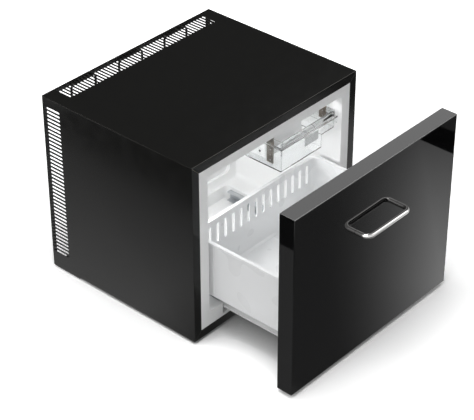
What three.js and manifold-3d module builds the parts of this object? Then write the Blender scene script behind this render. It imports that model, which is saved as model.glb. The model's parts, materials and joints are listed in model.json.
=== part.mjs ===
// Hotel minibar with one insulated drawer, built as an assembly of separate pieces.
// Millimetres. +X is to the right of someone facing the drawer, +Y to the back, +Z up.
// The pieces are drawn with y = 0 on the front plane of the cabinet and z = 0 on the floor,
// and the whole assembly is then shifted along Y so that the origin is the bottom centre of its box.
// The drawer is drawn as it stands part way out.

import * as THREE from 'three';
import { mergeVertices } from 'three/addons/utils/BufferGeometryUtils.js';
import Module from 'manifold-3d';

const wasm = await Module();
wasm.setup();

// Clearances
const FIT = 0.3;                    // between pieces that seat on each other
const RUNNING_FIT = 0.2;            // radial, roller bore on its pin

// Casing of painted sheet steel
const CABINET_WIDTH = 490;
const CABINET_DEPTH = 405.5;
const CABINET_HEIGHT = 409;         // lower edge of the side panels to the top
const FOOT_HEIGHT = 6;
const FOOT_RADIUS = 14;
const FOOT_INSET = 34;              // foot centre from the outside faces
const FOOT_CHAMFER = 2;
const SHEET = 1;
const FRAME_BAND = 19.5;            // front edge of each panel, folded inwards and mitred
const REAR_RETURN = 11;             // rear edge of each panel, folded inwards
const REAR_BAY_DEPTH = 78;          // open space behind the insulated box
const SKIRT_DROP = 3;               // the side panels hang lower beside the rear bay
const SKIRT_RADIUS = 4;

// Vent slots beside and above the rear bay, and through its floor
const SLOT_WIDTH = 4.7;
const SLOT_LENGTH = 46;
const SLOT_PITCH = 8.9;
const SLOT_REAR_MARGIN = 3.5;
const TOP_SLOT_MARGIN = 32;         // end of the row from the side faces
const SIDE_SLOT_MARGIN_LOW = 34.5;
const SIDE_SLOT_MARGIN_HIGH = 19.6;
const FLOOR_SLOT_WIDTH = 8;
const FLOOR_SLOT_PITCH = 22;
const FLOOR_SLOT_MARGIN = 74;

// Screws that hold the side panels to the base pan
const BASE_SCREW_HEIGHT = 12;       // above the lower edge of the panel
const BASE_SCREW_FRONT = 99;        // from the front plane
const BASE_SCREW_REAR = 19.5;       // from the rear of the insulated box
const BASE_UPTURN = 19.5;           // sides of the base pan, folded up inside the panels
const SCREW_RADIUS = 1.8;
const SCREW_HEAD_RADIUS = 3.4;
const SCREW_HEAD_HEIGHT = 1;
const SCREW_CROWN = 0.6;            // flat share of a screw head

// Inner liner, a vacuum-formed tub with a well for the runners in its floor
const LINER_WALL = 2;
const LINER_FLANGE = 24;            // side flange, folded edge of the casing to the opening
const LINER_FLANGE_LOW = 32;
const LINER_FLANGE_HIGH = 20.5;
const OPENING_RADIUS = 11;
const THROAT_DEPTH = 23;            // the mouth is a step narrower than the tub
const THROAT_STEP = 2;
const LINER_BACK_FILLET = 8;
const REAR_INSULATION = 30.5;       // recessed back wall to the back sheet's rear face
const BACK_RECESS_DEPTH = 7;
const BACK_RECESS_MARGIN = 21.5;
const WELL_MARGIN = 41.5;           // tub side to well side
const WELL_RISE = 1.5;              // well floor above the casing's lower front edge
const WELL_FRONT = 14;              // front lip of the tub
const WELL_REAR_MARGIN = 8;
const WELL_RADIUS = 12;

// Thermoelectric cooling unit in the back wall
const COOLER_RISE = 13.75;          // centre above the middle of the opening
const COLD_PLATE_WIDTH = 200;
const COLD_PLATE_HEIGHT = 160;
const COLD_PLATE_THICKNESS = 3;
const MODULE_SIZE = 40;
const MODULE_THICKNESS = 4;
const HOT_BLOCK_SIZE = 60;
const HOT_BLOCK_REACH = 24;         // behind the back sheet
const HOT_BLOCK_FINS = 5;
const HOT_BLOCK_GROOVE = 6;         // between the fins
const HOT_BLOCK_BASE = 12;          // solid part in front of the fins

// Serpentine condenser in the rear bay
const COIL_RUNS = 6;                // even, so that both ends are low
const COIL_SIDE_GAP = 57.5;         // outermost tube axis from the side faces
const COIL_TUBE_RADIUS = 2.5;
const COIL_BEND_RADIUS = 8;
const COIL_BEND_GAP = 53.9;         // straight length between two bends
const COIL_LIFT = 16.7;             // lower ends of the runs above the control box
const COIL_TOP_MARGIN = 9;
const COIL_BAR_WIDTH = 12;
const COIL_BAR_THICKNESS = 2;
const COIL_BAR_OVERHANG = 14;
const COIL_BAR_MARGIN = 44;         // bar centre from the ends of the runs

// Control box and cord gland in the rear bay
const CONTROL_BOX_WIDTH = 112;
const CONTROL_BOX_HEIGHT = 50;
const CONTROL_BOX_DEPTH = 26;
const CONTROL_BOX_SIDE_GAP = 53;    // from the right side face
const CONTROL_BOX_RADIUS = 4;
const GLAND_RADIUS = 9;
const GLAND_LENGTH = 15;
const GLAND_BORE = 4;
const GLAND_COLLAR = 6;             // length of the wide part
const GLAND_NOSE = 6.4;             // radius at the tip
const GLAND_TAPER = 1.2;

// Light and sensor unit under a clear cover, below the ceiling of the tub
const COVER_WALL = 2;
const COVER_WIDTH = 168.5;
const COVER_DEPTH = 150;
const COVER_HEIGHT = 70.7;
const COVER_DROP = 34.2;            // ceiling to the cover's upper rim
const COVER_FRONT = 12;
const COVER_SIDE_GAP = 1.5;         // collar to the side of the mouth
const COVER_COLLAR = 5;
const COVER_COLLAR_THICKNESS = 2;
const COVER_COLLAR_DROP = 15;       // upper rim to the collar
const COVER_STEP_WIDTH = 40;        // shallow part on the right
const COVER_STEP_RISE = 30;
const COVER_RADIUS = 3;
const BRACKET_WIDTH = 17.5;
const BRACKET_THICKNESS = 1.5;
const BRACKET_FOOT = 14;            // tab under the ceiling
const BRACKET_LIFT = 11;            // lower end above the cover's floor
const BRACKET_SETBACK = 22;         // from the front of the cover
const BRACKET_HOLE_RADIUS = 1.6;
const BRACKET_HOLE_PITCH = 11.8;
const BRACKET_HOLE_LIFT = 6;        // lowest hole above the lower end
const BRACKET_HOLES = 3;
const LIGHT_UNIT_SIDE_GAP = 5.5;    // from the left end of the cover
const LIGHT_UNIT_STEP_GAP = 11;     // from the step of the cover
const LIGHT_UNIT_FRONT_GAP = 4.5;   // behind the brackets
const LIGHT_UNIT_LIFT = 12;         // underside above the cover's floor
const LIGHT_UNIT_REAR_GAP = 8;
const LIGHT_UNIT_RADIUS = 4;
const SENSOR_RADIUS = 2.6;
const SENSOR_PROUD = 1.6;
const SENSOR_CHAMFER = 0.8;
const SENSOR_SETBACK = 16;          // from the front of the light unit
const SENSOR_LIFT = 13;             // above the underside of the light unit
const LENS_WIDTH = 42;
const LENS_HEIGHT = 22;
const LENS_THICKNESS = 1.5;
const LENS_STEP_GAP = 11;           // from the step of the cover
const LENS_LIFT = 25;               // above the cover's floor

// Drawer front
const FRONT_THICKNESS = 36.8;
const FRONT_GAP_LOW = 2.7;
const FRONT_GAP_HIGH = 2;
const FRONT_SKIN = 3;
const FRONT_EDGE = 0.8;             // bevel along the front edges
const INNER_PANEL = 2.5;            // panel that closes the back of the drawer front
const GASKET_INSET = 16.5;
const GASKET_WIDTH = 14;
const GASKET_HEIGHT = 8;
const GASKET_RADIUS = 7;
const GASKET_NOSE = 6;              // width of the sealing face
const GASKET_BASE = 3;              // height of the wide base

// Handle, a bent round bar
const HANDLE_CENTRES = 128;
const HANDLE_REACH = 33.5;
const HANDLE_BAR_RADIUS = 5.2;
const HANDLE_BEND_RADIUS = 13;
const HANDLE_DROP = 119;            // top of the drawer front to the bar's axis
const HANDLE_SCREW_RADIUS = 2;
const HANDLE_SCREW_DEPTH = 9;       // into the bar
const HANDLE_SCREW_HEAD_RADIUS = 4;
const HANDLE_SCREW_HEAD_HEIGHT = 2.4;

// Drawer basket
const BASKET_SIDE_GAP = 15.5;       // basket side to the side of the mouth
const BASKET_REAR_GAP = 28;         // basket rear to the tub's back wall, drawer shut
const BASKET_LIFT = 23.5;           // basket underside above the lip of the tub
const BASKET_HEIGHT = 135;
const BASKET_WALL = 2.5;
const BASKET_RADIUS = 14;
const BASKET_FLOOR_EDGE = 5;        // bevel round the underside
const BASKET_RIM = 5;               // rim band, outside the wall
const BASKET_RIM_HEIGHT = 4;
const BASKET_SLOT_WIDTH = 8;
const BASKET_SLOT_HEIGHT = 46;
const BASKET_SLOT_PITCH = 23;
const BASKET_SLOT_DROP = 13;        // below the rim
const BASKET_SLOT_MARGIN = 24;
const BASKET_RIB_WIDTH = 22;        // upright stiffening bands on the side walls
const BASKET_RIB_PROUD = 1.2;
const BASKET_RIB_SETBACK = 34;      // from the rear wall
const BASKET_SCREW_SPREAD = 240;
const BASKET_SCREW_DROP = 26;       // rows below the rim and above the underside

// Roller runners
const RAIL_SHEET = 1.2;
const RAIL_LIP_CLEARANCE = 1.2;     // above and below the drawer rail's flange
const RAIL_FRONT_MARGIN = 3;        // front end of the cabinet rail from the lip of the tub
const ROLLER_RADIUS = 8;
const ROLLER_WIDTH = 8;
const ROLLER_CHAMFER = 0.8;
const PIN_RADIUS = 2.5;
const PIN_HEAD_RADIUS = 4;
const PIN_HEAD = 1.1;
const FRONT_ROLLER_SETBACK = 9;     // roller axis from the front end of the cabinet rail
const REAR_ROLLER_SETBACK = 9;      // roller axis from the rear end of the drawer rail
const ROLLER_SIDE_GAP = 2.5;        // roller to the web of each rail
const ROLLER_STOP_GAP = 1;          // between the rollers when the drawer is fully out
const DRAWER_RESERVE = 5;           // travel left to the stop as drawn
const DRAWER_RAIL_FOOT = 14;        // flange under the basket
const DRAWER_RAIL_START = 2;        // front end behind the gasket
const DRAWER_RAIL_HANG = 4;         // web below the roller axis
const RAIL_CLEARANCE = 2;           // round the drawer rail, in its channel and through the lip

// Facets
const ARC_STEPS = 2;                // pairs of facets in a rounded corner or half a round hole
const SLOT_END_FACETS = 3;
const ROUND_SIDES = 16;
const SCREW_SIDES = 8;
const PIN_SIDES = 12;
const TUBE_SIDES = 8;
const TUBE_BEND_STEPS = 3;
const BAR_SIDES = 16;
const BAR_BEND_STEPS = 5;
const OVERSHOOT = 1;                // cutters reach past the face they cut

// Places worked out from the sizes above
const HALF_WIDTH = CABINET_WIDTH / 2;
const PANEL_LOW = FOOT_HEIGHT;
const PANEL_HIGH = FOOT_HEIGHT + CABINET_HEIGHT;
const BAY_FRONT = CABINET_DEPTH - REAR_BAY_DEPTH;

const OPENING_HALF = HALF_WIDTH - FRAME_BAND - LINER_FLANGE;
const OPENING_LOW = PANEL_LOW + FRAME_BAND + LINER_FLANGE_LOW;
const OPENING_HIGH = PANEL_HIGH - FRAME_BAND - LINER_FLANGE_HIGH;
const TUB_HALF = OPENING_HALF + THROAT_STEP;
const RECESS_BACK = BAY_FRONT - REAR_INSULATION;
const TUB_BACK = RECESS_BACK - BACK_RECESS_DEPTH;
const WELL_HALF = TUB_HALF - WELL_MARGIN;
const WELL_LOW = PANEL_LOW + FRAME_BAND + WELL_RISE;
const WELL_BACK = TUB_BACK - WELL_REAR_MARGIN;

const COVER_RIGHT = OPENING_HALF - COVER_SIDE_GAP - COVER_COLLAR;
const COVER_LEFT = COVER_RIGHT - COVER_WIDTH;
const COVER_HIGH = OPENING_HIGH - COVER_DROP;
const COVER_LOW = COVER_HIGH - COVER_HEIGHT;
const COVER_BACK = COVER_FRONT + COVER_DEPTH;

const DRAWER_RAIL_GAP = ROLLER_WIDTH + 2 * ROLLER_SIDE_GAP;
const CABINET_RAIL_X = WELL_HALF - FIT;
const DRAWER_RAIL_X = CABINET_RAIL_X - RAIL_SHEET - DRAWER_RAIL_GAP;
const ROLLER_X = (CABINET_RAIL_X - RAIL_SHEET + DRAWER_RAIL_X) / 2;
const RAIL_TRACK = WELL_LOW + FIT + RAIL_SHEET;
const REAR_ROLLER_Z = RAIL_TRACK + FIT + ROLLER_RADIUS;
const DRAWER_RAIL_LOW = REAR_ROLLER_Z - DRAWER_RAIL_HANG;
const DRAWER_FLANGE_LOW = REAR_ROLLER_Z + ROLLER_RADIUS + RAIL_LIP_CLEARANCE;
const FRONT_ROLLER_Z = DRAWER_FLANGE_LOW - FIT - ROLLER_RADIUS;
const RAIL_LIP_LOW = DRAWER_FLANGE_LOW + RAIL_SHEET + RAIL_LIP_CLEARANCE;
const RAIL_FRONT = WELL_FRONT + RAIL_FRONT_MARGIN;
const RAIL_BACK = WELL_BACK - WELL_RADIUS - FIT;
const FRONT_ROLLER_Y = RAIL_FRONT + FRONT_ROLLER_SETBACK;
const REAR_ROLLER_Y = FRONT_ROLLER_Y + 2 * ROLLER_RADIUS + ROLLER_STOP_GAP + DRAWER_RESERVE;

// When the drawer is shut, the gasket meets the cabinet's front plane
const BASKET_DEPTH = TUB_BACK - BASKET_REAR_GAP + GASKET_HEIGHT;
const BASKET_BACK = REAR_ROLLER_Y + REAR_ROLLER_SETBACK;
const BASKET_FRONT = BASKET_BACK - BASKET_DEPTH;
const BASKET_HALF = OPENING_HALF - BASKET_SIDE_GAP;
const BASKET_LOW = OPENING_LOW + BASKET_LIFT;
const BASKET_HIGH = BASKET_LOW + BASKET_HEIGHT;

const FRONT_BACK = BASKET_FRONT - FIT;
const FRONT_FACE = FRONT_BACK - FRONT_THICKNESS;
const FRONT_LOW = PANEL_LOW + FRONT_GAP_LOW;
const FRONT_HIGH = PANEL_HIGH - FRONT_GAP_HIGH;
const HANDLE_Z = FRONT_HIGH - HANDLE_DROP;
const HANDLE_FRONT = FRONT_FACE - HANDLE_REACH;

const SIDES = [{ label: 'left', sign: -1 }, { label: 'right', sign: 1 }];

// Finishes
const finish = (color, roughness, metalness = 0, opacity = 1) => new THREE.MeshStandardMaterial({
  color, roughness, metalness, opacity, transparent: opacity < 1,
});
const BLACK_STEEL = finish(0x1d1d1c, 0.45, 0.2);
const GALVANISED = finish(0xb4b8ba, 0.45, 0.8);
const FOAM = finish(0xe8d9a8, 0.9);
const WHITE_PLASTIC = finish(0xe9eaea, 0.4);
const BASKET_PLASTIC = finish(0xdfe1e2, 0.35);
const BARE_ALUMINIUM = finish(0xc4c7c9, 0.4, 0.9);
const MODULE_CERAMIC = finish(0xf0efe9, 0.6);
const BLACK_PLASTIC = finish(0x161616, 0.5);
const CLEAR_PLASTIC = finish(0xf2f5f5, 0.08, 0, 0.3);
const BRACKET_METAL = finish(0x6f6660, 0.45, 0.7);
const LENS_PLASTIC = finish(0xb3b6b8, 0.3);
const GLOSS_BLACK = finish(0x0c0c0d, 0.06);
const GASKET_RUBBER = finish(0x121212, 0.7);
const BRIGHT_CHROME = finish(0xd9dbdd, 0.08, 1);
const ZINC_STEEL = finish(0xaeb1b3, 0.4, 0.85);
const WHITE_STEEL = finish(0xe6e7e7, 0.35, 0.1);
const NYLON = finish(0xf1f0ea, 0.45);

// Solids and geometry
function toSolid(geometry) {
  geometry.deleteAttribute('normal');
  geometry.deleteAttribute('uv');
  const merged = mergeVertices(geometry);
  return new wasm.Manifold(new wasm.Mesh({
    numProp: 3,
    vertProperties: merged.getAttribute('position').array,
    triVerts: new Uint32Array(merged.index.array),
  }));
}

function toGeometry(solid) {
  const mesh = solid.getMesh();
  const geometry = new THREE.BufferGeometry();
  geometry.setAttribute('position', new THREE.BufferAttribute(mesh.vertProperties, 3));
  geometry.setIndex(new THREE.BufferAttribute(mesh.triVerts, 1));
  geometry.computeVertexNormals();
  return geometry;
}

const join = (first, ...others) => others.reduce((whole, next) => whole.add(next), first);
const cut = (first, ...others) => others.reduce((whole, next) => whole.subtract(next), first);

// A block between two values on each axis, given in either order
function block(x, y, z) {
  const middle = ([a, b]) => (a + b) / 2;
  const length = ([a, b]) => Math.abs(b - a);
  const geometry = new THREE.BoxGeometry(length(x), length(y), length(z));
  geometry.translate(middle(x), middle(y), middle(z));
  return toSolid(geometry);
}

// A flat shape, drawn in the two axes that are left, extruded along the named axis
const AXES = {
  x: new THREE.Matrix4().makeBasis(
    new THREE.Vector3(0, 1, 0), new THREE.Vector3(0, 0, 1), new THREE.Vector3(1, 0, 0)),
  y: new THREE.Matrix4().makeBasis(
    new THREE.Vector3(1, 0, 0), new THREE.Vector3(0, 0, 1), new THREE.Vector3(0, -1, 0)),
  z: new THREE.Matrix4(),
};

function extrude(shape, axis, from, to, options = {}) {
  const low = Math.min(from, to);
  const high = Math.max(from, to);
  const bevel = options.bevel ?? 0;
  const geometry = new THREE.ExtrudeGeometry(shape, {
    depth: high - low - 2 * bevel,
    curveSegments: options.steps ?? ARC_STEPS,
    bevelEnabled: bevel > 0,
    bevelThickness: bevel,
    bevelSize: bevel,
    bevelOffset: -bevel,
    bevelSegments: options.bevelSteps ?? 1,
  });
  geometry.translate(0, 0, bevel + (axis === 'y' ? -high : low));
  geometry.applyMatrix4(AXES[axis]);
  return toSolid(geometry);
}

const polygon = (points) => new THREE.Shape(points.map(([a, b]) => new THREE.Vector2(a, b)));

function roundedRectangle([left, right], [low, high], radius, ShapeClass = THREE.Shape) {
  const shape = new ShapeClass();
  shape.moveTo(left + radius, low);
  shape.lineTo(right - radius, low);
  shape.absarc(right - radius, low + radius, radius, -Math.PI / 2, 0);
  shape.lineTo(right, high - radius);
  shape.absarc(right - radius, high - radius, radius, 0, Math.PI / 2);
  shape.lineTo(left + radius, high);
  shape.absarc(left + radius, high - radius, radius, Math.PI / 2, Math.PI);
  shape.lineTo(left, low + radius);
  shape.absarc(left + radius, low + radius, radius, Math.PI, Math.PI * 1.5);
  return shape;
}

// A slot with round ends, its length along the first or the second axis of the shape
function slot([centreA, centreB], lengthA, lengthB) {
  const radius = Math.min(lengthA, lengthB) / 2;
  const reachA = lengthA / 2 - radius;
  const reachB = lengthB / 2 - radius;
  const turn = lengthA > lengthB ? 0 : Math.PI / 2;
  const points = [1, -1].flatMap((end) => Array.from({ length: SLOT_END_FACETS + 1 }, (_, index) => {
    const angle = turn + Math.PI * (index / SLOT_END_FACETS - 0.5);
    return new THREE.Vector2(
      centreA + end * (reachA + radius * Math.cos(angle)),
      centreB + end * (reachB + radius * Math.sin(angle)));
  }));
  return new THREE.Path(points);
}

// A round hole whose facets lie outside the circle
function round([a, b], radius) {
  const corner = radius / Math.cos(Math.PI / (4 * ARC_STEPS));
  const path = new THREE.Path();
  path.absarc(a, b, corner, 0, Math.PI);
  path.absarc(a, b, corner, Math.PI, Math.PI * 2);
  return path;
}

// Centres of a row at a steady pitch, centred between its two ends
function row(low, high, pitch) {
  const gaps = Math.floor((high - low) / pitch);
  const first = (low + high - gaps * pitch) / 2;
  return Array.from({ length: gaps + 1 }, (_, index) => first + index * pitch);
}

// A turned solid: a closed profile of [radius, along] points about an axis through a point
const TURNS = {
  x: new THREE.Matrix4().makeRotationZ(-Math.PI / 2),
  y: new THREE.Matrix4(),
  z: new THREE.Matrix4().makeRotationX(Math.PI / 2),
};

function turned(profile, axis, [x, y, z], sides = ROUND_SIDES) {
  const points = profile.map(([radius, along]) => new THREE.Vector2(radius, along));
  if (THREE.ShapeUtils.isClockWise(points)) {
    points.reverse();
  }
  if (points[0].x > 0) {
    points.push(points[0].clone());
  }
  const geometry = new THREE.LatheGeometry(points, sides);
  geometry.applyMatrix4(TURNS[axis]);
  geometry.translate(x, y, z);
  return toSolid(geometry);
}

// A path through corner points, each corner rounded with one bend radius
class BentPath extends THREE.Curve {
  constructor(corners, radius, steps) {
    super();
    this.stations = [corners[0]];
    for (let index = 1; index < corners.length - 1; index += 1) {
      const corner = corners[index];
      const back = corners[index - 1].clone().sub(corner).normalize();
      const ahead = corners[index + 1].clone().sub(corner).normalize();
      const bisector = back.clone().add(ahead).normalize();
      const half = back.angleTo(ahead) / 2;
      const centre = corner.clone().addScaledVector(bisector, radius / Math.sin(half));
      const start = corner.clone().addScaledVector(back, radius / Math.tan(half)).sub(centre);
      const normal = back.clone().cross(ahead).normalize();
      const sweep = -(Math.PI - 2 * half);
      for (let step = 0; step <= steps; step += 1) {
        this.stations.push(start.clone().applyAxisAngle(normal, sweep * step / steps).add(centre));
      }
    }
    this.stations.push(corners[corners.length - 1]);
  }

  get sections() {
    return this.stations.length - 1;
  }

  getPoint(t) {
    const place = Math.min(Math.max(t, 0), 1) * this.sections;
    const index = Math.min(Math.floor(place), this.sections - 1);
    return this.stations[index].clone().lerp(this.stations[index + 1], place - index);
  }

  getPointAt(u) {
    return this.getPoint(u);
  }

  getTangentAt(u) {
    const index = Math.round(u * this.sections);
    const before = this.stations[Math.max(index - 1, 0)];
    const here = this.stations[index];
    const after = this.stations[Math.min(index + 1, this.sections)];
    const arriving = here.clone().sub(before).normalize();
    const leaving = after.clone().sub(here).normalize();
    return arriving.add(leaving).normalize();
  }
}

function tube(corners, tubeRadius, bendRadius, sides, bendSteps) {
  const path = new BentPath(corners.map((corner) => new THREE.Vector3(...corner)), bendRadius, bendSteps);
  const section = new THREE.Shape(Array.from({ length: sides }, (_, index) => {
    const angle = 2 * Math.PI * index / sides;
    return new THREE.Vector2(tubeRadius * Math.cos(angle), tubeRadius * Math.sin(angle));
  }));
  const geometry = new THREE.ExtrudeGeometry(section, {
    steps: path.sections, extrudePath: path, bevelEnabled: false,
  });
  return toSolid(geometry);
}

// A screw along an axis: the head stands on the side that "out" points to
function screw(axis, place, out, shankLength, radius, headRadius, headHeight) {
  const profile = [
    [0, out * headHeight], [headRadius * SCREW_CROWN, out * headHeight], [headRadius, out * headHeight / 2],
    [headRadius, 0], [radius, 0], [radius, -out * shankLength], [0, -out * shankLength],
  ];
  return turned(profile, axis, place, SCREW_SIDES);
}

// The assembly
const minibar = new THREE.Group();
const assembly = new THREE.Group();
assembly.position.y = -(HANDLE_FRONT + CABINET_DEPTH) / 2;
minibar.add(assembly);

function piece(name, solid, material) {
  const mesh = new THREE.Mesh(toGeometry(solid), material);
  mesh.name = name;
  assembly.add(mesh);
}

// Casing: four folded panels whose front edges meet in mitres
const SLOT_Y = CABINET_DEPTH - SLOT_REAR_MARGIN - SLOT_LENGTH / 2;
const SIDE_PANEL_HIGH = PANEL_HIGH - SHEET - FIT;
const BASE_HALF = HALF_WIDTH - SHEET - FIT;
const BASE_SCREW_Z = PANEL_LOW + BASE_SCREW_HEIGHT;
const BASE_SCREW_Y = [BASE_SCREW_FRONT, BAY_FRONT - BASE_SCREW_REAR];

// Front edge of the top panel or the base pan, folded towards the middle of the opening
function foldedBand(edge, inwards) {
  const wide = BASE_HALF;
  const narrow = HALF_WIDTH - FRAME_BAND - FIT;
  const band = polygon([
    [-wide, edge], [wide, edge], [wide, edge + inwards * SHEET],
    [narrow, edge + inwards * FRAME_BAND], [-narrow, edge + inwards * FRAME_BAND],
    [-wide, edge + inwards * SHEET],
  ]);
  return extrude(band, 'y', 0, SHEET);
}

function topPanel() {
  const sheet = polygon([
    [-HALF_WIDTH, 0], [HALF_WIDTH, 0], [HALF_WIDTH, CABINET_DEPTH], [-HALF_WIDTH, CABINET_DEPTH],
  ]);
  const reach = HALF_WIDTH - TOP_SLOT_MARGIN - SLOT_WIDTH / 2;
  for (const x of row(-reach, reach, SLOT_PITCH)) {
    sheet.holes.push(slot([x, SLOT_Y], SLOT_WIDTH, SLOT_LENGTH));
  }
  const returnHalf = HALF_WIDTH - REAR_RETURN - FIT;
  return join(
    extrude(sheet, 'z', PANEL_HIGH - SHEET, PANEL_HIGH),
    foldedBand(PANEL_HIGH, -1),
    block([-returnHalf, returnHalf], [CABINET_DEPTH - SHEET, CABINET_DEPTH],
      [PANEL_HIGH - REAR_RETURN, PANEL_HIGH - SHEET / 2]),
  );
}

function sidePanel(sign) {
  const sheet = new THREE.Shape();
  sheet.moveTo(0, PANEL_LOW);
  sheet.lineTo(BAY_FRONT, PANEL_LOW);
  sheet.lineTo(BAY_FRONT, PANEL_LOW - SKIRT_DROP);
  sheet.lineTo(CABINET_DEPTH - SKIRT_RADIUS, PANEL_LOW - SKIRT_DROP);
  sheet.absarc(CABINET_DEPTH - SKIRT_RADIUS, PANEL_LOW - SKIRT_DROP + SKIRT_RADIUS, SKIRT_RADIUS,
    -Math.PI / 2, 0);
  sheet.lineTo(CABINET_DEPTH, SIDE_PANEL_HIGH);
  sheet.lineTo(0, SIDE_PANEL_HIGH);
  const lowest = PANEL_LOW + SIDE_SLOT_MARGIN_LOW + SLOT_WIDTH / 2;
  const highest = PANEL_HIGH - SIDE_SLOT_MARGIN_HIGH - SLOT_WIDTH / 2;
  for (const z of row(lowest, highest, SLOT_PITCH)) {
    sheet.holes.push(slot([SLOT_Y, z], SLOT_LENGTH, SLOT_WIDTH));
  }
  for (const y of BASE_SCREW_Y) {
    sheet.holes.push(round([y, BASE_SCREW_Z], SCREW_RADIUS + FIT));
  }
  const outside = sign * HALF_WIDTH;
  const inwards = (distance) => sign * (HALF_WIDTH - distance);
  const band = polygon([
    [outside, PANEL_LOW], [inwards(SHEET), PANEL_LOW], [inwards(SHEET), PANEL_LOW + SHEET],
    [inwards(FRAME_BAND), PANEL_LOW + FRAME_BAND], [inwards(FRAME_BAND), PANEL_HIGH - FRAME_BAND],
    [inwards(SHEET), SIDE_PANEL_HIGH], [outside, SIDE_PANEL_HIGH],
  ]);
  return join(
    extrude(sheet, 'x', outside, inwards(SHEET)),
    extrude(band, 'y', 0, SHEET),
    block([inwards(SHEET / 2), inwards(REAR_RETURN)], [CABINET_DEPTH - SHEET, CABINET_DEPTH],
      [PANEL_LOW - SKIRT_DROP + SKIRT_RADIUS, SIDE_PANEL_HIGH]),
  );
}

function basePan() {
  const rear = CABINET_DEPTH - SHEET - FIT;
  const sheet = polygon([[-BASE_HALF, 0], [BASE_HALF, 0], [BASE_HALF, rear], [-BASE_HALF, rear]]);
  const reach = HALF_WIDTH - FLOOR_SLOT_MARGIN;
  const slotLength = REAR_BAY_DEPTH - 2 * FOOT_RADIUS;
  for (const x of row(-reach, reach, FLOOR_SLOT_PITCH)) {
    sheet.holes.push(slot([x, BAY_FRONT + REAR_BAY_DEPTH / 2], FLOOR_SLOT_WIDTH, slotLength));
  }
  const upturnBack = BAY_FRONT - SHEET - 2 * FIT;
  const upturn = polygon([
    [FRAME_BAND, PANEL_LOW], [upturnBack, PANEL_LOW],
    [upturnBack, PANEL_LOW + BASE_UPTURN], [FRAME_BAND, PANEL_LOW + BASE_UPTURN],
  ]);
  for (const y of BASE_SCREW_Y) {
    upturn.holes.push(round([y, BASE_SCREW_Z], SCREW_RADIUS + FIT));
  }
  return join(
    extrude(sheet, 'z', PANEL_LOW, PANEL_LOW + SHEET),
    foldedBand(PANEL_LOW, 1),
    extrude(upturn, 'x', -BASE_HALF, SHEET - BASE_HALF),
    extrude(upturn, 'x', BASE_HALF - SHEET, BASE_HALF),
  );
}

piece('top_panel', topPanel(), BLACK_STEEL);
for (const { label, sign } of SIDES) {
  piece(`${label}_panel`, sidePanel(sign), BLACK_STEEL);
}
piece('base_pan', basePan(), BLACK_STEEL);

for (const { label, sign } of SIDES) {
  BASE_SCREW_Y.forEach((y, index) => {
    const place = [sign * (HALF_WIDTH + FIT), y, BASE_SCREW_Z];
    const shank = FIT + HALF_WIDTH - BASE_HALF + SHEET;
    const solid = screw('x', place, sign, shank, SCREW_RADIUS, SCREW_HEAD_RADIUS, SCREW_HEAD_HEIGHT);
    piece(`base_screw_${label}_${index === 0 ? 'front' : 'rear'}`, solid, BLACK_STEEL);
  });
}

// Feet: shallow turned pads under the base pan
function foot(x, y) {
  const high = PANEL_LOW - FIT;
  const profile = [
    [0, 0], [FOOT_RADIUS - FOOT_CHAMFER, 0], [FOOT_RADIUS, FOOT_CHAMFER], [FOOT_RADIUS, high], [0, high],
  ];
  return turned(profile, 'z', [x, y, 0]);
}

for (const { label, sign } of SIDES) {
  const x = sign * (HALF_WIDTH - FOOT_INSET);
  piece(`foot_front_${label}`, foot(x, FOOT_INSET), BLACK_PLASTIC);
  piece(`foot_rear_${label}`, foot(x, CABINET_DEPTH - FOOT_INSET), BLACK_PLASTIC);
}

// Insulated box: liner, foam and back sheet
const FLANGE_HALF = HALF_WIDTH - FRAME_BAND - FIT;
const FLANGE_LOW = PANEL_LOW + FRAME_BAND + FIT;
const FLANGE_HIGH = PANEL_HIGH - FRAME_BAND - FIT;
const NOTCH_INNER = DRAWER_RAIL_X - RAIL_SHEET - RAIL_CLEARANCE;
const NOTCH_LOW = DRAWER_RAIL_LOW - RAIL_CLEARANCE;
const FOAM_HALF = BASE_HALF - SHEET - FIT;
const FOAM_LOW = PANEL_LOW + SHEET + FIT;
const FOAM_HIGH = PANEL_HIGH - SHEET - FIT;
const FOAM_FRONT = LINER_WALL + FIT;
const FOAM_BACK = BAY_FRONT - SHEET - FIT;

// Everything in front of a place along Y, to cut away
const aheadOf = (y) => block([-CABINET_WIDTH, CABINET_WIDTH], [y - CABINET_DEPTH, y],
  [-CABINET_HEIGHT, 2 * CABINET_HEIGHT]);

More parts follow.
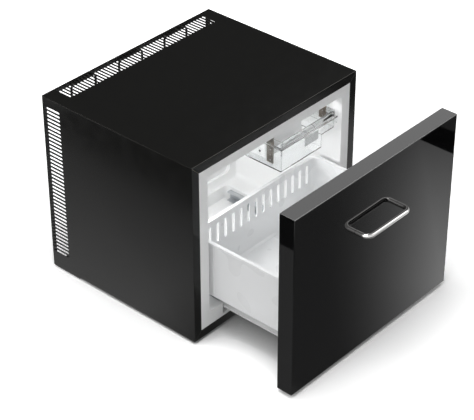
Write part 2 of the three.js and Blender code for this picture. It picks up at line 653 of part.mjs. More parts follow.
// The space inside the tub, grown outwards on every side; its front end reaches past the front plane
function tubSpace(growth) {
  const front = -2 * LINER_BACK_FILLET - growth;
  const low = OPENING_LOW - growth;
  const high = OPENING_HIGH + growth;
  const radius = OPENING_RADIUS + growth;
  const across = (half) => [-half - growth, half + growth];
  const mouth = roundedRectangle(across(OPENING_HALF), [low, high], radius);
  const room = roundedRectangle(across(TUB_HALF), [low, high], radius);
  const recessMargin = BACK_RECESS_MARGIN - growth;
  const recess = roundedRectangle(across(TUB_HALF - BACK_RECESS_MARGIN),
    [OPENING_LOW + recessMargin, OPENING_HIGH - recessMargin], radius);
  const well = roundedRectangle(across(WELL_HALF), [WELL_FRONT - growth, WELL_BACK + growth],
    WELL_RADIUS + growth);
  const notches = SIDES.flatMap(({ sign }) => {
    const width = [sign * (NOTCH_INNER - growth), sign * (WELL_HALF + growth)];
    const above = OPENING_LOW + OPENING_RADIUS;
    return [
      block(width, [front, WELL_FRONT + WELL_RADIUS], [NOTCH_LOW - growth, above]),
      block(width, [WELL_FRONT - growth, WELL_FRONT + WELL_RADIUS], [WELL_LOW - growth, above]),
    ];
  });
  const backFillet = { bevel: LINER_BACK_FILLET + growth, bevelSteps: 2 };
  const roomFront = THROAT_DEPTH - growth;
  const roomSolid = extrude(room, 'y', roomFront - 2 * backFillet.bevel, TUB_BACK + growth, backFillet);
  return join(
    cut(roomSolid, aheadOf(roomFront)),
    extrude(mouth, 'y', front, THROAT_DEPTH + LINER_WALL),
    extrude(recess, 'y', TUB_BACK - 2 * LINER_BACK_FILLET, RECESS_BACK + growth),
    extrude(well, 'z', WELL_LOW - growth, OPENING_LOW + OPENING_RADIUS),
    ...notches,
  );
}

function innerLiner() {
  const flange = block([-FLANGE_HALF, FLANGE_HALF], [0, LINER_WALL], [FLANGE_LOW, FLANGE_HIGH]);
  const outside = cut(tubSpace(LINER_WALL), aheadOf(0));
  return cut(join(outside, flange), tubSpace(0));
}

const COOLER_FRONT = RECESS_BACK + LINER_WALL + FIT;
const COOLER_HEIGHT = (OPENING_LOW + OPENING_HIGH) / 2 + COOLER_RISE;
const PLATE_BACK = COOLER_FRONT + COLD_PLATE_THICKNESS;
const MODULE_BACK = BAY_FRONT;
const MODULE_FRONT = MODULE_BACK - MODULE_THICKNESS;

// A square centred on the cooling unit, grown on every side
function coolerBlock(size, growth, from, to) {
  const half = size / 2 + growth;
  return block([-half, half], [from, to], [COOLER_HEIGHT - half, COOLER_HEIGHT + half]);
}

function coldPlateBlock(growth, to) {
  const halfWidth = COLD_PLATE_WIDTH / 2 + growth;
  const halfHeight = COLD_PLATE_HEIGHT / 2 + growth;
  return block([-halfWidth, halfWidth], [COOLER_FRONT, to],
    [COOLER_HEIGHT - halfHeight, COOLER_HEIGHT + halfHeight]);
}

function insulationFoam() {
  const solid = block([-FOAM_HALF, FOAM_HALF], [FOAM_FRONT, FOAM_BACK], [FOAM_LOW, FOAM_HIGH]);
  return cut(solid, tubSpace(LINER_WALL + FIT), coldPlateBlock(FIT, PLATE_BACK + FIT),
    coolerBlock(MODULE_SIZE, FIT, PLATE_BACK, BAY_FRONT));
}

function backSheet() {
  const sheet = block([-BASE_HALF, BASE_HALF], [BAY_FRONT - SHEET, BAY_FRONT],
    [FOAM_LOW, FOAM_HIGH]);
  return cut(sheet, coolerBlock(MODULE_SIZE, FIT, BAY_FRONT - SHEET - OVERSHOOT, BAY_FRONT + OVERSHOOT));
}

piece('inner_liner', innerLiner(), WHITE_PLASTIC);
piece('insulation_foam', insulationFoam(), FOAM);
piece('back_sheet', backSheet(), GALVANISED);

// Cooling unit, from the cold plate behind the liner to the condenser in the rear bay
const HOT_BLOCK_FRONT = BAY_FRONT + FIT;
const HOT_BLOCK_BACK = HOT_BLOCK_FRONT + HOT_BLOCK_REACH;

// A solid block whose rear half is cut into upright fins
function hotBlock() {
  const half = HOT_BLOCK_SIZE / 2;
  const finPitch = HOT_BLOCK_SIZE / HOT_BLOCK_FINS;
  const grooves = [];
  for (let fin = 1; fin < HOT_BLOCK_FINS; fin += 1) {
    const x = -half + fin * finPitch;
    grooves.push(block([x - HOT_BLOCK_GROOVE / 2, x + HOT_BLOCK_GROOVE / 2],
      [HOT_BLOCK_FRONT + HOT_BLOCK_BASE, HOT_BLOCK_BACK + OVERSHOOT],
      [COOLER_HEIGHT - half - OVERSHOOT, COOLER_HEIGHT + half + OVERSHOOT]));
  }
  return cut(coolerBlock(HOT_BLOCK_SIZE, 0, HOT_BLOCK_FRONT, HOT_BLOCK_BACK), ...grooves);
}

// One tube: from the left of the hot block, up and down through the upright runs, back to its right
const CONTROL_LOW = PANEL_LOW + SHEET + FIT;
const COIL_LOW = CONTROL_LOW + CONTROL_BOX_HEIGHT + COIL_LIFT;
const COIL_HIGH = PANEL_HIGH - COIL_TOP_MARGIN;
const COIL_OUTER = HALF_WIDTH - COIL_SIDE_GAP;
const COIL_HALF = COIL_OUTER - 2 * COIL_BEND_RADIUS - COIL_TUBE_RADIUS;
const COIL_PITCH = 2 * COIL_HALF / (COIL_RUNS - 1);
const FEED_Y = HOT_BLOCK_FRONT + COIL_TUBE_RADIUS + FIT;
const COIL_Y = FEED_Y + 2 * COIL_BEND_RADIUS + COIL_BEND_GAP;

function condenserCoil() {
  const fromBlock = HOT_BLOCK_SIZE / 2 + FIT;
  const corners = [[-fromBlock, FEED_Y, COOLER_HEIGHT], [-COIL_OUTER, FEED_Y, COOLER_HEIGHT],
    [-COIL_OUTER, FEED_Y, COIL_LOW], [-COIL_OUTER, COIL_Y, COIL_LOW]];
  for (let run = 0; run < COIL_RUNS; run += 1) {
    const x = -COIL_HALF + run * COIL_PITCH;
    const upwards = run % 2 === 0;
    corners.push([x, COIL_Y, upwards ? COIL_LOW : COIL_HIGH]);
    corners.push([x, COIL_Y, upwards ? COIL_HIGH : COIL_LOW]);
  }
  corners.push([COIL_OUTER, COIL_Y, COIL_LOW], [COIL_OUTER, FEED_Y, COIL_LOW],
    [COIL_OUTER, FEED_Y, COOLER_HEIGHT], [fromBlock, FEED_Y, COOLER_HEIGHT]);
  return tube(corners, COIL_TUBE_RADIUS, COIL_BEND_RADIUS, TUBE_SIDES, TUBE_BEND_STEPS);
}

piece('cold_plate', coldPlateBlock(0, PLATE_BACK), BARE_ALUMINIUM);
piece('cold_block', coolerBlock(MODULE_SIZE, 0, PLATE_BACK + FIT, MODULE_FRONT - FIT), BARE_ALUMINIUM);
piece('peltier_module', coolerBlock(MODULE_SIZE, 0, MODULE_FRONT, MODULE_BACK), MODULE_CERAMIC);
piece('hot_block', hotBlock(), BARE_ALUMINIUM);
piece('condenser_coil', condenserCoil(), BLACK_STEEL);

// Two flat bars with turned legs carry the runs of the condenser off the back sheet
const COIL_BAR_BACK = COIL_Y - COIL_TUBE_RADIUS - FIT;
function condenserBar(z) {
  const half = COIL_HALF + COIL_BAR_OVERHANG;
  const front = COIL_BAR_BACK - COIL_BAR_THICKNESS;
  const legFoot = BAY_FRONT + FIT;
  const legInside = half - COIL_BAR_THICKNESS;
  const bar = polygon([
    [-half, legFoot], [-legInside, legFoot], [-legInside, front],
    [legInside, front], [legInside, legFoot], [half, legFoot],
    [half, COIL_BAR_BACK], [-half, COIL_BAR_BACK],
  ]);
  return extrude(bar, 'z', z - COIL_BAR_WIDTH / 2, z + COIL_BAR_WIDTH / 2);
}

piece('condenser_bar_lower', condenserBar(COIL_LOW + COIL_BAR_MARGIN), ZINC_STEEL);
piece('condenser_bar_upper', condenserBar(COIL_HIGH - COIL_BAR_MARGIN), ZINC_STEEL);

// Control box on the floor of the rear bay, with the gland that the mains lead would enter by
const CONTROL_BACK = BAY_FRONT + FIT + CONTROL_BOX_DEPTH;
const CONTROL_BOX_X = HALF_WIDTH - CONTROL_BOX_SIDE_GAP - CONTROL_BOX_WIDTH / 2;

function controlBox() {
  const outline = roundedRectangle(
    [CONTROL_BOX_X - CONTROL_BOX_WIDTH / 2, CONTROL_BOX_X + CONTROL_BOX_WIDTH / 2],
    [CONTROL_LOW, CONTROL_LOW + CONTROL_BOX_HEIGHT], CONTROL_BOX_RADIUS);
  return extrude(outline, 'y', BAY_FRONT + FIT, CONTROL_BACK);
}

function cordGland() {
  const profile = [
    [GLAND_BORE, 0], [GLAND_RADIUS, 0], [GLAND_RADIUS, GLAND_COLLAR],
    [GLAND_NOSE + GLAND_TAPER, GLAND_COLLAR], [GLAND_NOSE, GLAND_LENGTH], [GLAND_BORE, GLAND_LENGTH],
  ];
  const place = [CONTROL_BOX_X, CONTROL_BACK + FIT, CONTROL_LOW + CONTROL_BOX_HEIGHT / 2];
  return turned(profile, 'y', place, PIN_SIDES);
}

piece('control_box', controlBox(), BLACK_PLASTIC);
piece('cord_gland', cordGland(), BLACK_PLASTIC);

// Light and sensor unit: a clear stepped cover, its two hangers, the white unit, its sensor and lens
const COVER_STEP_X = COVER_RIGHT - COVER_STEP_WIDTH;
const COVER_STEP_LOW = COVER_LOW + COVER_STEP_RISE;
const COLLAR_HIGH = COVER_HIGH - COVER_COLLAR_DROP;

// The deep and the shallow part of the cover, drawn in by an inset and open to a chosen height
function coverSpace(inset, high) {
  const along = [COVER_FRONT + inset, COVER_BACK - inset];
  const part = (right, low) => {
    const outline = roundedRectangle([COVER_LEFT + inset, right - inset], along, COVER_RADIUS - inset);
    return extrude(outline, 'z', low + inset, high);
  };
  return join(part(COVER_STEP_X, COVER_LOW), part(COVER_RIGHT, COVER_STEP_LOW));
}

function lightCover() {
  const collar = roundedRectangle([COVER_LEFT - COVER_COLLAR, COVER_RIGHT + COVER_COLLAR],
    [COVER_FRONT - COVER_COLLAR, COVER_BACK + COVER_COLLAR], COVER_RADIUS);
  return cut(
    join(coverSpace(0, COVER_HIGH), extrude(collar, 'z', COLLAR_HIGH - COVER_COLLAR_THICKNESS, COLLAR_HIGH)),
    coverSpace(COVER_WALL, COVER_HIGH + OVERSHOOT),
  );
}

// A strap from the ceiling to the inside of one end of the cover
function lightBracket(sign) {
  const end = sign > 0 ? COVER_RIGHT : COVER_LEFT;
  const floor = sign > 0 ? COVER_STEP_LOW : COVER_LOW;
  const inner = (distance) => end - sign * (COVER_WALL + FIT + distance);
  const low = floor + BRACKET_LIFT;
  const high = OPENING_HIGH - FIT;
  const front = COVER_FRONT + BRACKET_SETBACK;
  const back = front + BRACKET_WIDTH;
  const strap = polygon([[front, low], [back, low], [back, high], [front, high]]);
  for (let hole = 0; hole < BRACKET_HOLES; hole += 1) {
    const z = low + BRACKET_HOLE_LIFT + hole * BRACKET_HOLE_PITCH;
    strap.holes.push(round([(front + back) / 2, z], BRACKET_HOLE_RADIUS));
  }
  return join(
    extrude(strap, 'x', inner(0), inner(BRACKET_THICKNESS)),
    block([inner(0), inner(BRACKET_FOOT)], [front, back], [high - BRACKET_THICKNESS, high]),
  );
}

const UNIT_LEFT = COVER_LEFT + LIGHT_UNIT_SIDE_GAP;
const UNIT_RIGHT = COVER_STEP_X - LIGHT_UNIT_STEP_GAP;
const UNIT_FRONT = COVER_FRONT + BRACKET_SETBACK + BRACKET_WIDTH + LIGHT_UNIT_FRONT_GAP;
const UNIT_LOW = COVER_LOW + LIGHT_UNIT_LIFT;

function lightUnit() {
  const outline = roundedRectangle([UNIT_LEFT, UNIT_RIGHT],
    [UNIT_FRONT, COVER_BACK - LIGHT_UNIT_REAR_GAP], LIGHT_UNIT_RADIUS);
  return extrude(outline, 'z', UNIT_LOW, OPENING_HIGH - FIT);
}

function sensorButton() {
  const profile = [
    [0, -FIT], [SENSOR_RADIUS, -FIT], [SENSOR_RADIUS, SENSOR_CHAMFER - SENSOR_PROUD],
    [SENSOR_RADIUS - SENSOR_CHAMFER, -SENSOR_PROUD], [0, -SENSOR_PROUD],
  ];
  return turned(profile, 'x', [UNIT_LEFT, UNIT_FRONT + SENSOR_SETBACK, UNIT_LOW + SENSOR_LIFT], SCREW_SIDES);
}

function lightLens() {
  const right = COVER_STEP_X - LENS_STEP_GAP;
  const front = COVER_FRONT + COVER_WALL + FIT;
  return block([right - LENS_WIDTH, right], [front, front + LENS_THICKNESS],
    [COVER_LOW + LENS_LIFT, COVER_LOW + LENS_LIFT + LENS_HEIGHT]);
}

piece('light_cover', lightCover(), CLEAR_PLASTIC);
for (const { label, sign } of SIDES) {
  piece(`light_bracket_${label}`, lightBracket(sign), BRACKET_METAL);
}
piece('light_unit', lightUnit(), WHITE_PLASTIC);
piece('sensor_button', sensorButton(), BLACK_PLASTIC);
piece('light_lens', lightLens(), LENS_PLASTIC);

// Drawer front: gloss shell, insulation, inner panel and gasket
const BASKET_SCREW_Z = [BASKET_LOW + BASKET_SCREW_DROP, BASKET_HIGH - BASKET_SCREW_DROP];
const HANDLE_HALF = HANDLE_CENTRES / 2;
const SKIN_BACK = FRONT_FACE + FRONT_SKIN;

// Cutters through the inner panel and the basket's front wall, one for each basket screw
const basketScrewHoles = () => SIDES.flatMap(({ sign }) => BASKET_SCREW_Z.map((z) => {
  const x = sign * BASKET_SCREW_SPREAD / 2;
  const hole = new THREE.Shape(round([x, z], SCREW_RADIUS + FIT).getPoints(ARC_STEPS));
  return extrude(hole, 'y', FRONT_BACK - INNER_PANEL - OVERSHOOT, BASKET_FRONT + BASKET_WALL + OVERSHOOT);
}));

// Cutters on the two axes of the handle's legs
const handleCutters = (radius, from, to) => SIDES.map(({ sign }) => {
  const hole = new THREE.Shape(round([sign * HANDLE_HALF, HANDLE_Z], radius).getPoints(ARC_STEPS));
  return extrude(hole, 'y', from, to);
});

// The inside of the drawer front, drawn in by an inset, between two places along Y
function frontSpace(inset, from, to) {
  const half = HALF_WIDTH - inset;
  return block([-half, half], [from, to], [FRONT_LOW + inset, FRONT_HIGH - inset]);
}

function frontPanel() {
  const outline = polygon([
    [-HALF_WIDTH, FRONT_LOW], [HALF_WIDTH, FRONT_LOW], [HALF_WIDTH, FRONT_HIGH], [-HALF_WIDTH, FRONT_HIGH],
  ]);
  return cut(
    extrude(outline, 'y', FRONT_FACE, FRONT_BACK, { bevel: FRONT_EDGE }),
    frontSpace(FRONT_SKIN, SKIN_BACK, FRONT_BACK + OVERSHOOT),
    ...handleCutters(HANDLE_SCREW_RADIUS + FIT, FRONT_FACE - OVERSHOOT, SKIN_BACK + OVERSHOOT),
  );
}

function frontInsulation() {
  const pocketBack = SKIN_BACK + 2 * FIT + HANDLE_SCREW_HEAD_HEIGHT;
  return cut(
    frontSpace(FRONT_SKIN + FIT, SKIN_BACK + FIT, FRONT_BACK - INNER_PANEL - FIT),
    ...handleCutters(HANDLE_SCREW_HEAD_RADIUS + FIT, SKIN_BACK - OVERSHOOT, pocketBack),
  );
}

function frontInnerPanel() {
  return cut(frontSpace(FRONT_SKIN + FIT, FRONT_BACK - INNER_PANEL, FRONT_BACK), ...basketScrewHoles());
}

// A frame between two insets from the edges of the drawer front
function gasketFrame(outerInset, innerInset) {
  const limits = (inset) => [
    [inset - HALF_WIDTH, HALF_WIDTH - inset], [FRONT_LOW + inset, FRONT_HIGH - inset],
  ];
  const frame = roundedRectangle(...limits(outerInset), GASKET_RADIUS);
  frame.holes.push(roundedRectangle(...limits(innerInset), GASKET_RADIUS, THREE.Path));
  return frame;
}

function frontGasket() {
  const noseInset = GASKET_INSET + (GASKET_WIDTH - GASKET_NOSE) / 2;
  const base = gasketFrame(GASKET_INSET, GASKET_INSET + GASKET_WIDTH);
  const nose = gasketFrame(noseInset, noseInset + GASKET_NOSE);
  return join(
    extrude(base, 'y', FRONT_BACK + FIT, FRONT_BACK + GASKET_BASE),
    extrude(nose, 'y', FRONT_BACK + GASKET_BASE - FIT, FRONT_BACK + GASKET_HEIGHT),
  );
}

piece('front_panel', frontPanel(), GLOSS_BLACK);
piece('front_insulation', frontInsulation(), FOAM);
piece('front_inner_panel', frontInnerPanel(), WHITE_PLASTIC);
piece('front_gasket', frontGasket(), GASKET_RUBBER);

// Handle: a round bar bent twice, screwed on from behind the gloss shell
function drawerHandle() {
  const axis = HANDLE_FRONT + HANDLE_BAR_RADIUS;
  const foot = FRONT_FACE - FIT;
  const bar = tube([[-HANDLE_HALF, foot, HANDLE_Z], [-HANDLE_HALF, axis, HANDLE_Z],
    [HANDLE_HALF, axis, HANDLE_Z], [HANDLE_HALF, foot, HANDLE_Z]],
  HANDLE_BAR_RADIUS, HANDLE_BEND_RADIUS, BAR_SIDES, BAR_BEND_STEPS);
  const tapped = foot - HANDLE_SCREW_DEPTH - FIT;
  return cut(bar, ...handleCutters(HANDLE_SCREW_RADIUS + FIT, tapped, foot + OVERSHOOT));
}

piece('drawer_handle', drawerHandle(), BRIGHT_CHROME);
for (const { label, sign } of SIDES) {
  const place = [sign * HANDLE_HALF, SKIN_BACK + FIT, HANDLE_Z];
  const shank = FRONT_SKIN + 2 * FIT + HANDLE_SCREW_DEPTH;
  const solid = screw('y', place, 1, shank, HANDLE_SCREW_RADIUS, HANDLE_SCREW_HEAD_RADIUS,
    HANDLE_SCREW_HEAD_HEIGHT);
  piece(`handle_screw_${label}`, solid, ZINC_STEEL);
}

// Drawer basket: a moulded tub with a rim band, slots in its rear wall and a stiffening band on each side
function basketSpace(growth, low, high, options) {
  const outline = roundedRectangle([-BASKET_HALF - growth, BASKET_HALF + growth],
    [BASKET_FRONT - growth, BASKET_BACK + growth], BASKET_RADIUS + growth);
  return extrude(outline, 'z', low, high, options);
}

function drawerBasket() {
  const edge = { bevel: BASKET_FLOOR_EDGE };
  const reach = 2 * BASKET_FLOOR_EDGE;
  const shell = basketSpace(0, BASKET_LOW, BASKET_HIGH + reach, edge);
  const hollow = basketSpace(-BASKET_WALL, BASKET_LOW + BASKET_WALL, BASKET_HIGH + reach, edge);
  const rim = basketSpace(BASKET_RIM, BASKET_HIGH - BASKET_RIM_HEIGHT, BASKET_HIGH);
  const ribBack = BASKET_BACK - BASKET_RIB_SETBACK;
  const ribs = SIDES.map(({ sign }) => block(
    [sign * (BASKET_HALF - BASKET_WALL / 2), sign * (BASKET_HALF + BASKET_RIB_PROUD)],
    [ribBack - BASKET_RIB_WIDTH, ribBack],
    [BASKET_LOW + 2 * BASKET_FLOOR_EDGE, BASKET_HIGH - BASKET_RIM_HEIGHT / 2]));
  const slotReach = BASKET_HALF - BASKET_SLOT_MARGIN;
  const slotZ = BASKET_HIGH - BASKET_SLOT_DROP - BASKET_SLOT_HEIGHT / 2;
  const slots = row(-slotReach, slotReach, BASKET_SLOT_PITCH).map((x) => {
    const outline = new THREE.Shape(slot([x, slotZ], BASKET_SLOT_WIDTH, BASKET_SLOT_HEIGHT).getPoints());
    return extrude(outline, 'y', BASKET_BACK - BASKET_WALL - OVERSHOOT, BASKET_BACK + OVERSHOOT);
  });
  const above = block([-CABINET_WIDTH, CABINET_WIDTH], [-CABINET_DEPTH, CABINET_DEPTH],
    [BASKET_HIGH, 2 * CABINET_HEIGHT]);
  const outside = join(shell, rim, ...ribs);
  return cut(outside, hollow, above, aheadOf(BASKET_FRONT), ...slots, ...basketScrewHoles());
}

piece('drawer_basket', drawerBasket(), BASKET_PLASTIC);
for (const { label, sign } of SIDES) {
  BASKET_SCREW_Z.forEach((z, index) => {
    const place = [sign * BASKET_SCREW_SPREAD / 2, BASKET_FRONT + BASKET_WALL + FIT, z];
    const shank = 2 * FIT + BASKET_WALL + INNER_PANEL;
    const solid = screw('y', place, 1, shank, SCREW_RADIUS, SCREW_HEAD_RADIUS, SCREW_HEAD_HEIGHT);
    piece(`basket_screw_${index === 0 ? 'lower' : 'upper'}_${label}`, solid, ZINC_STEEL);
  });
}

// Runners: a channel on each side of the well, a rail under the basket, and a roller on each of them
function cabinetRail(sign) {
  const outer = sign * CABINET_RAIL_X;
  const face = sign * (CABINET_RAIL_X - RAIL_SHEET);
  const inner = sign * (DRAWER_RAIL_X + RAIL_CLEARANCE);
  const low = WELL_LOW + FIT;
  const high = RAIL_LIP_LOW + RAIL_SHEET;
  const web = polygon([[RAIL_FRONT, low], [RAIL_BACK, low], [RAIL_BACK, high], [RAIL_FRONT, high]]);
  web.holes.push(round([FRONT_ROLLER_Y, FRONT_ROLLER_Z], PIN_RADIUS + RUNNING_FIT));
  return join(
    extrude(web, 'x', outer, face),
    block([outer, inner], [RAIL_FRONT, RAIL_BACK], [low, RAIL_TRACK]),
    block([outer, inner], [RAIL_FRONT, RAIL_BACK], [RAIL_LIP_LOW, high]),
  );
}

const DRAWER_RAIL_FRONT = FRONT_BACK + GASKET_HEIGHT + DRAWER_RAIL_START;
const DRAWER_RAIL_HIGH = BASKET_LOW - FIT;

function drawerRail(sign) {
  const face = sign * DRAWER_RAIL_X;
  const inner = sign * (DRAWER_RAIL_X - RAIL_SHEET);
  const foot = sign * (DRAWER_RAIL_X - DRAWER_RAIL_FOOT);
  const runner = sign * (DRAWER_RAIL_X + DRAWER_RAIL_GAP - RAIL_CLEARANCE);
  const along = [DRAWER_RAIL_FRONT, BASKET_BACK];
  const [front, back] = along;
  const web = polygon([
    [front, DRAWER_RAIL_LOW], [back, DRAWER_RAIL_LOW], [back, DRAWER_RAIL_HIGH], [front, DRAWER_RAIL_HIGH],
  ]);
  web.holes.push(round([REAR_ROLLER_Y, REAR_ROLLER_Z], PIN_RADIUS + RUNNING_FIT));
  return join(
    extrude(web, 'x', inner, face),
    block([foot, face], along, [DRAWER_RAIL_HIGH - RAIL_SHEET, DRAWER_RAIL_HIGH]),
    block([inner, runner], along, [DRAWER_FLANGE_LOW, DRAWER_FLANGE_LOW + RAIL_SHEET]),
  );
}

function roller(x, y, z) {
  const half = ROLLER_WIDTH / 2;
  const bore = PIN_RADIUS + RUNNING_FIT;
  const profile = [
    [bore, -half], [ROLLER_RADIUS - ROLLER_CHAMFER, -half], [ROLLER_RADIUS, ROLLER_CHAMFER - half],
    [ROLLER_RADIUS, half - ROLLER_CHAMFER], [ROLLER_RADIUS - ROLLER_CHAMFER, half], [bore, half],
  ];
  return turned(profile, 'x', [x, y, z]);
}

// A riveted pin from the outer face of a rail's web: "outwards" is the way it points along X
function rollerPin(webX, outwards, rollerX, y, z) {
  const along = (x) => x - rollerX;
  const half = ROLLER_WIDTH / 2 + RUNNING_FIT;
  const faceX = webX + outwards * (RAIL_SHEET + RUNNING_FIT);
  const profile = [
    [0, along(webX)], [PIN_RADIUS, along(webX)], [PIN_RADIUS, along(faceX)],
    [PIN_HEAD_RADIUS, along(faceX)], [PIN_HEAD_RADIUS, -outwards * half], [PIN_RADIUS, -outwards * half],
    [PIN_RADIUS, outwards * half], [PIN_HEAD_RADIUS, outwards * half],
    [PIN_HEAD_RADIUS, outwards * (half + PIN_HEAD)], [0, outwards * (half + PIN_HEAD)],
  ];
  return turned(profile, 'x', [rollerX, y, z], PIN_SIDES);
}

for (const { label, sign } of SIDES) {
  const rollerX = sign * ROLLER_X;
  piece(`cabinet_rail_${label}`, cabinetRail(sign), ZINC_STEEL);
  piece(`front_roller_pin_${label}`,
    rollerPin(sign * CABINET_RAIL_X, -sign, rollerX, FRONT_ROLLER_Y, FRONT_ROLLER_Z), ZINC_STEEL);
  piece(`front_roller_${label}`, roller(rollerX, FRONT_ROLLER_Y, FRONT_ROLLER_Z), NYLON);
  piece(`drawer_rail_${label}`, drawerRail(sign), WHITE_STEEL);
  piece(`rear_roller_pin_${label}`,
    rollerPin(sign * (DRAWER_RAIL_X - RAIL_SHEET), sign, rollerX, REAR_ROLLER_Y, REAR_ROLLER_Z), ZINC_STEEL);
  piece(`rear_roller_${label}`, roller(rollerX, REAR_ROLLER_Y, REAR_ROLLER_Z), NYLON);
}

export default minibar;
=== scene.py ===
# Looks of a drawer minibar: black coated casing, gloss black drawer front, white cold box, chrome pull.
# Metres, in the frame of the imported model: +X right, +Y to the back, +Z up.
import json
import math

import bmesh
import bpy
from mathutils import Matrix, Vector

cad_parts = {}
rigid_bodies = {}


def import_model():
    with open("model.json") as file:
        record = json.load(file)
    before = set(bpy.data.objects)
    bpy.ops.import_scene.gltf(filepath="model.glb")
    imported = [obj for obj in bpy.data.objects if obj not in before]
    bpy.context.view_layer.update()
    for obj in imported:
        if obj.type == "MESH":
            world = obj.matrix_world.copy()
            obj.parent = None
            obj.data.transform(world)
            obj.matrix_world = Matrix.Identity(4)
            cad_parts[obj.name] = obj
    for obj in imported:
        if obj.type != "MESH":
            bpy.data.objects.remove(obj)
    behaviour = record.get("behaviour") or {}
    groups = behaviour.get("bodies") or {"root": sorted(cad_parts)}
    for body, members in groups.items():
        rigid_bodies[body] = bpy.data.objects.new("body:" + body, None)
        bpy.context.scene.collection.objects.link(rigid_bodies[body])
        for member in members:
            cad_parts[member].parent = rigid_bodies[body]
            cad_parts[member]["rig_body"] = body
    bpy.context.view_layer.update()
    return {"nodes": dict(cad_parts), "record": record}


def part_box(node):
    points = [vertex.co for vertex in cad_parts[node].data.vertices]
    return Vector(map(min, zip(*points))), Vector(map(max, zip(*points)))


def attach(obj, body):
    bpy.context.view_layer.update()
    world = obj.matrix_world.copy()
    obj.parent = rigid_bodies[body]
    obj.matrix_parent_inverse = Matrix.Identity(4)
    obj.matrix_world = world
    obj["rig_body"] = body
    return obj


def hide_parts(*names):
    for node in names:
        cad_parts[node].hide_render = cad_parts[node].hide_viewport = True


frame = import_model()

MM = 0.001
SMOOTH_ANGLE = math.radians(35)     # flatter edges are shaded smooth, and sharper ones are rounded
FLAT_ANGLE = math.radians(0.5)      # edges inside a flat face
MERGE = 0.01 * MM
SLOT_OF = {part["node"]: part["material_slot"] for part in frame["record"]["subparts"]}

# Camera of the photograph, in the image frame of 474 by 420
IMAGE_WIDTH = 474
FOCAL_PIXELS = 1750.87
SENSOR_WIDTH = 36.0
CAMERA_PLACE = Vector((-2.2197, -1.9370, 2.1736))
CAMERA_FORWARD = Vector((0.61687, 0.55094, -0.56208))
CAMERA_RIGHT = Vector((0.66499, -0.74685, -0.00223))


# Shader helpers
NOISE_ENDS = (0.3, 0.7)             # a noise texture hardly ever goes beyond these


def new_finish(name, colour, roughness, metallic=0.0):
    """A material with its tree and its shader, in one colour until a texture is linked."""
    material = bpy.data.materials.new(name)
    material.use_nodes = True
    shader = material.node_tree.nodes["Principled BSDF"]
    shader.inputs["Base Color"].default_value = (*colour, 1.0)
    shader.inputs["Roughness"].default_value = roughness
    shader.inputs["Metallic"].default_value = metallic
    return material, material.node_tree, shader


def noise(tree, scale, detail=3.0, stretch=(1.0, 1.0, 1.0)):
    """Noise on the piece's own place in metres, drawn out along an axis by a small stretch."""
    place = tree.nodes.new("ShaderNodeTexCoord")
    mapping = tree.nodes.new("ShaderNodeMapping")
    mapping.inputs["Scale"].default_value = stretch
    texture = tree.nodes.new("ShaderNodeTexNoise")
    texture.inputs["Scale"].default_value = scale
    texture.inputs["Detail"].default_value = detail
    tree.links.new(place.outputs["Object"], mapping.inputs["Vector"])
    tree.links.new(mapping.outputs["Vector"], texture.inputs["Vector"])
    return texture.outputs["Fac"]


def scaled(tree, value, start, end, low=0.0, high=1.0):
    """A number that runs from low to high while another runs from start to end."""
    node = tree.nodes.new("ShaderNodeMapRange")
    node.inputs["From Min"].default_value = start
    node.inputs["From Max"].default_value = end
    node.inputs["To Min"].default_value = low
    node.inputs["To Max"].default_value = high
    tree.links.new(value, node.inputs["Value"])
    return node.outputs["Result"]


def roughen(tree, shader, source, smooth, rough):
    """The roughness, between two values with a texture."""
    tree.links.new(scaled(tree, source, *NOISE_ENDS, smooth, rough), shader.inputs["Roughness"])


def mottle(tree, shader, source, dark, pale):
    """The base colour, between two colours with a texture."""
    ramp = tree.nodes.new("ShaderNodeValToRGB")
    for stop, position, colour in zip(ramp.color_ramp.elements, NOISE_ENDS, (dark, pale)):
        stop.position = position
        stop.color = (*colour, 1.0)
    tree.links.new(source, ramp.inputs["Fac"])
    tree.links.new(ramp.outputs["Color"], shader.inputs["Base Color"])


def relief(tree, shader, source, strength, depth):
    """A fine unevenness of the surface, in metres of depth."""
    bump = tree.nodes.new("ShaderNodeBump")
    bump.inputs["Strength"].default_value = strength
    bump.inputs["Distance"].default_value = depth
    tree.links.new(source, bump.inputs["Height"])
    tree.links.new(bump.outputs["Normal"], shader.inputs["Normal"])


# Finishes
BAND_GLOSS = 0.15                   # specular level of the casing's front faces
ACRYLIC_IOR = 1.49


def powder_coat(name):
    """Black powder coat with a fine grain."""
    material, tree, shader = new_finish(name, (0.007, 0.007, 0.0064), 0.2)
    mottle(tree, shader, noise(tree, 420), (0.0060, 0.0060, 0.0055), (0.0085, 0.0084, 0.0078))
    roughen(tree, shader, noise(tree, 40), 0.19, 0.25)
    relief(tree, shader, noise(tree, 1500, detail=2.0), 0.06, 0.03 * MM)
    return material


def matt_coat():
    """The same coat on the faces round the opening, with less gloss."""
    material = powder_coat("matt_black_coat")
    material.node_tree.nodes["Principled BSDF"].inputs["Specular IOR Level"].default_value = BAND_GLOSS
    return material


def painted_edge_highlight(name, dark, pale):
    """A paler finish for rounded edges: a painted highlight where the edge catches the light."""
    material, tree, shader = new_finish(name, pale, 0.35)
    mottle(tree, shader, noise(tree, 160), dark, pale)
    roughen(tree, shader, noise(tree, 300), 0.28, 0.4)
    return material


def gloss_lacquer():
    """Polished black lacquer with a faint waviness."""
    material, tree, shader = new_finish("gloss_black_lacquer", (0.0045, 0.0045, 0.0047), 0.03)
    roughen(tree, shader, noise(tree, 9), 0.02, 0.045)
    relief(tree, shader, noise(tree, 30, detail=1.0), 0.02, 0.02 * MM)
    return material


